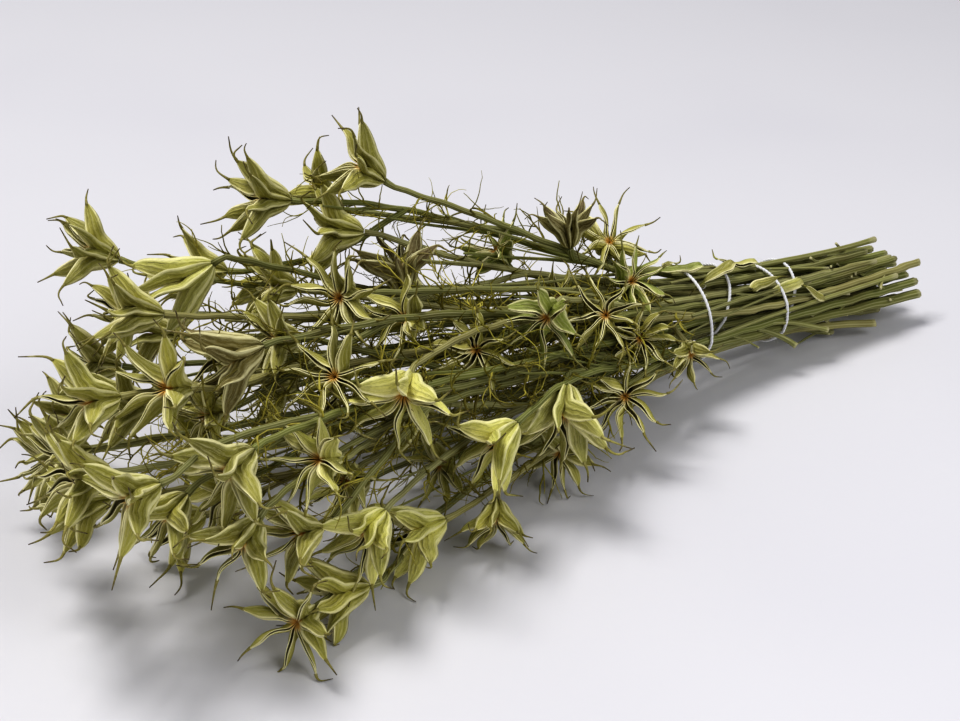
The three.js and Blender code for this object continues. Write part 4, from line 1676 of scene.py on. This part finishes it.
@dataclass
class Cord:
    """The white cord: three twisted strands, drawn tight over the stems, with a little fluff."""

    binding: Binding
    stems: list[Stem]
    rng: np.random.Generator
    per_point: int = 5
    strands: int = 3
    strand_radius: float = 0.43
    strand_out: float = 0.36
    pitch: float = 5.2
    sides: int = 7
    ring_step: float = 0.55
    reach: float = 12.0
    most_moved: float = 2.4
    passes: int = 60
    hairs: int = 240
    hair_points: int = 6
    hair_radius: float = 0.035
    hair_length: tuple[float, float] = (0.8, 2.6)
    hair_root: float = 0.85

    def drawn_tight(self) -> Array:
        """The cord's way once it has been pulled against the stems.

        Returns:
            One row for each of its points.
        """
        start = self.binding.cord_points()
        start = through(start, np.linspace(0, 1, self.per_point * len(start)))
        way = start.copy()
        near = [stem for stem in self.stems if stem.shoot.main is None]
        dense, wide = [], []
        for stem in near:
            share = np.linspace(0, 1, 3 * len(stem.way))
            dense.append(through(stem.way, share))
            wide.append(np.interp(share, np.linspace(0, 1, len(stem.radii)), stem.radii))
        points, radii = np.vstack(dense), np.concatenate(wide)
        x = points[:, 0]
        keep = (x > self.binding.start - self.reach) & (x < self.binding.end + self.reach)
        points, radii = points[keep], radii[keep]
        need = radii + self.strand_radius + self.strand_out
        for _ in range(self.passes):
            way[1:-1] += 0.5 * (0.5 * (way[:-2] + way[2:]) - way[1:-1])
            apart = way[:, None] - points[None]
            gap = np.linalg.norm(apart, axis=2)
            push = np.maximum(need[None] - gap, 0) / np.maximum(gap, 1e-6)
            worst = push.argmax(1)
            rows = np.arange(len(way))
            way += push[rows, worst][:, None] * apart[rows, worst]
            moved = way - start
            far = np.linalg.norm(moved, axis=1, keepdims=True)
            way = start + moved * np.minimum(1, self.most_moved / np.maximum(far, 1e-6))
        return way

    def add_to(self, piece: Piece) -> None:
        """Adds the strands and the fluff to the piece.

        Args:
            piece: The piece.
        """
        way = self.drawn_tight()
        length = float(np.linalg.norm(np.diff(way, axis=0), axis=1).sum())
        log.info("cord: %.0f mm long", length)
        fine = through(way, np.linspace(0, 1, int(length / self.ring_step)))
        _, u, w = carried_frames(fine)
        turn = np.linspace(0, length, len(fine)) * 2 * math.pi / self.pitch
        white = np.ones(3)
        for k in range(self.strands):
            a = (turn + k * 2 * math.pi / self.strands)[:, None]
            strand = fine + self.strand_out * (np.cos(a) * u + np.sin(a) * w)
            piece.add_rings(ringed(strand, np.full(len(fine), self.strand_radius), self.sides)[None], white)
        k = self.rng.integers(2, len(fine) - 2, self.hairs)
        a = self.rng.uniform(*ANY_TURN, (self.hairs, 1))
        out = np.cos(a) * u[k] + np.sin(a) * w[k]
        heading = unit(out + self.rng.normal(0, 0.9, (self.hairs, 3)))
        bend = self.rng.normal(0, 0.9, (self.hairs, 3))
        size = self.rng.uniform(*self.hair_length, (self.hairs, 1, 1))
        t = np.linspace(0, 1, self.hair_points)[None, :, None]
        roots = (fine[k] + self.hair_root * out)[:, None]
        hairs = roots + size * (t * heading[:, None] + 0.5 * t * t * bend[:, None])
        piece.add_rings(ringed(hairs, np.full(hairs.shape[:2], self.hair_radius), 3), white)


# --------------------------------------------------------------------------------------------------
# The bunch, the floor, the lights and the camera
# --------------------------------------------------------------------------------------------------


@dataclass(frozen=True)
class Finishes:
    """The finishes of the bunch, made once."""

    stem: bpy.types.Material
    husk: bpy.types.Material
    thread: bpy.types.Material
    cotton: bpy.types.Material

    @classmethod
    def make(cls) -> "Finishes":
        """Builds each finish."""
        finishes = (StemFinish(), HuskFinish(), ThreadFinish(), CordFinish())
        return cls(*(finish.material() for finish in finishes))


@dataclass
class Bunch:
    """The whole bunch: every spray with its stems, pods and thread leaves, and the cord that ties them."""

    binding: Binding
    finishes: Finishes
    seed: int = 7
    caught_on: int = 21
    stem_tones: tuple[Colour, ...] = (
        linear(140, 140, 86),
        linear(126, 127, 71),
        linear(158, 156, 106),
        linear(120, 124, 66),
        linear(149, 143, 92),
    )
    stem_shades: tuple[float, float] = (0.85, 1.4)
    thread_tones: tuple[Colour, ...] = (linear(148, 142, 56), linear(178, 169, 80), linear(120, 114, 42))

    def __post_init__(self) -> None:
        """Lays out the stems and finds the bunch's place in the shared frame."""
        layout = Layout(self.binding)
        layout.lay_out()
        layout.settle()
        layout.draw_straight()
        self.shoots = layout.shoots
        low, high = (np.array(corner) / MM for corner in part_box("binding_cord"))
        way = self.binding.cord_points()
        self.shift = (low + high) / 2 - (way.min(0) + way.max(0)) / 2

    def build(self) -> None:
        """Builds every piece."""
        stems = []
        for k in range(len(SPRAYS)):
            stems += self.build_spray(k)
        tie = Piece("tie_cord", "binding_cord", "cord", self.finishes.cotton)
        Cord(self.binding, stems, np.random.default_rng(self.seed)).add_to(tie)
        tie.build(self.shift)

    def build_spray(self, k: int) -> list[Stem]:
        """Builds one spray's pieces.

        Args:
            k: The spray's number, from 0.

        Returns:
            Its stems.
        """
        rng = np.random.default_rng(self.seed * 1000 + k)
        node = f"spray_{k + 1:02d}"
        tone = np.array(self.stem_tones[(3 * k) % len(self.stem_tones)])
        own = [shoot for shoot in self.shoots if shoot.spray == k]
        stems = [Stem(shoot, tone * rng.uniform(*self.stem_shades), rng) for shoot in own]
        wood = Piece(f"{node}_stems", node, "dried_plant", self.finishes.stem)
        husks = Piece(f"{node}_pods", node, "dried_plant", self.finishes.husk)
        threads = Piece(f"{node}_leaves", node, "dried_plant", self.finishes.thread)
        for stem in stems:
            stem.add_to(wood)
            if stem.shoot.main is None:
                Stubs(stem, rng).add_to(wood)
                Twigs(stem, rng).add_to(wood)
            tint = self.thread_tones[int(rng.integers(len(self.thread_tones)))]
            ThreadLeaves(stem, tint, rng).add_to(threads)
            Pod(stem.shoot.pod, rng).add_to(husks)
        if k == self.caught_on:
            CaughtLobes(self.binding, np.random.default_rng(self.seed + 1)).add_to(husks)
            CaughtTwigs(self.binding, self.stem_tones[0], np.random.default_rng(self.seed + 2)).add_to(wood)
        for piece in (wood, husks, threads):
            if piece.count:
                piece.build(self.shift)
        self.report(node, stems)
        return stems

    def report(self, node: str, stems: list[Stem]) -> None:
        """Logs how far a spray's stems reach outside its CAD box, in millimetres.

        Args:
            node: The spray's CAD node.
            stems: Its stems.
        """
        low, high = (np.array(corner) / MM - self.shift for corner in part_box(node))
        ways = np.vstack([stem.way for stem in stems])
        log.info("%s: stems past the box by %.1f", node, float(max((low - ways).max(), (ways - high).max())))


@dataclass(frozen=True)
class Lamp:
    """A soft square light: its place from the bunch's middle, in metres, its side, its power, its colour."""

    name: str
    right: float
    toward: float
    over: float
    size: float
    watts: float
    colour: Colour


@dataclass(frozen=True)
class Studio:
    """The floor, the lights and the camera."""

    shift: tuple[float, float, float]
    floor_size: float = 7.0
    floor_points: int = 24
    floor_drop: float = 0.0002
    eye: tuple[float, float, float] = (-549.3, -601.2, 421.6)
    right: tuple[float, float, float] = (0.8290, -0.5592, 0.0)
    up: tuple[float, float, float] = (0.2582, 0.3828, 0.8870)
    back: tuple[float, float, float] = (-0.4960, -0.7353, 0.4617)
    lens: float = 69.0
    sensor: float = 36.0
    sky: Colour = (0.93, 0.94, 1.0)
    sky_strength: float = 0.22
    look: str = "High Contrast"
    lamps: tuple[Lamp, ...] = (
        Lamp("key", -0.75, -0.2, 2.4, 0.85, 35.5, (1.0, 0.99, 0.975)),
        Lamp("front", 0.8, 0.8, 1.0, 0.8, 6.0, (0.98, 0.985, 1.0)),
    )

    def build_floor(self) -> None:
        """Lays the floor just under the bunch."""
        count = self.floor_points
        line = np.linspace(-0.5, 0.5, count) * self.floor_size
        x, y = np.meshgrid(line, line, indexing="ij")
        places = np.stack([x, y, np.full_like(x, -self.floor_drop)], axis=-1).reshape(-1, 3)
        k = (np.arange(count - 1)[:, None] * count + np.arange(count - 1)).ravel()
        faces = np.stack([k, k + count, k + count + 1, k + 1], axis=1)
        mesh = bpy.data.meshes.new("floor")
        mesh.from_pydata(places.tolist(), [], faces.tolist())
        mesh.materials.append(FloorFinish().material())
        floor = bpy.data.objects.new("floor", mesh)
        bpy.context.scene.collection.objects.link(floor)

    def add_light(self, lamp: Lamp, place: Array) -> None:
        """Adds a light that shines at the bunch.

        Args:
            lamp: The light.
            place: Where it is in the shared frame, in metres.
        """
        light = bpy.data.lights.new(lamp.name, "AREA")
        light.shape, light.size, light.energy, light.color = "SQUARE", lamp.size, lamp.watts, lamp.colour
        made = bpy.data.objects.new(lamp.name, light)
        made.location = Vector(place)
        made.rotation_euler = Vector(-place).to_track_quat("-Z", "Y").to_euler()
        bpy.context.scene.collection.objects.link(made)

    def build_lights(self) -> None:
        """Sets a soft sky and two large lights."""
        world = bpy.data.worlds.new("studio")
        world.use_nodes = True
        sky = world.node_tree.nodes["Background"]
        sky.inputs["Color"].default_value = (*self.sky, 1.0)
        sky.inputs["Strength"].default_value = self.sky_strength
        bpy.context.scene.world = world
        right, toward = np.array(self.right), unit(np.array([self.back[0], self.back[1], 0.0]))
        over = np.array([0, 0, 1.0])
        for lamp in self.lamps:
            self.add_light(lamp, lamp.right * right + lamp.toward * toward + lamp.over * over)

    def build_camera(self) -> None:
        """Sets the camera."""
        camera = bpy.data.cameras.new("camera")
        camera.lens, camera.sensor_width = self.lens, self.sensor
        made = bpy.data.objects.new("camera", camera)
        place = (np.array(self.eye) + np.array(self.shift)) * MM
        rows = np.array([self.right, self.up, self.back]).T
        turn = Matrix(rows.tolist()).to_4x4()
        made.matrix_world = Matrix.Translation(Vector(place)) @ turn
        bpy.context.scene.collection.objects.link(made)
        bpy.context.scene.camera = made

    def build(self) -> None:
        """Builds the floor, the lights and the camera."""
        settings = bpy.context.scene.view_settings
        settings.view_transform, settings.look = "Standard", self.look
        self.build_camera()
        self.build_floor()
        self.build_lights()


def main() -> None:
    """Builds the bunch in its frame."""
    logging.basicConfig(level=logging.INFO, format="%(message)s")
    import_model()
    bunch = Bunch(Binding(), Finishes.make())
    Studio(tuple(bunch.shift)).build()
    bunch.build()
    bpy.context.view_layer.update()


if __name__ == "__main__":
    main()
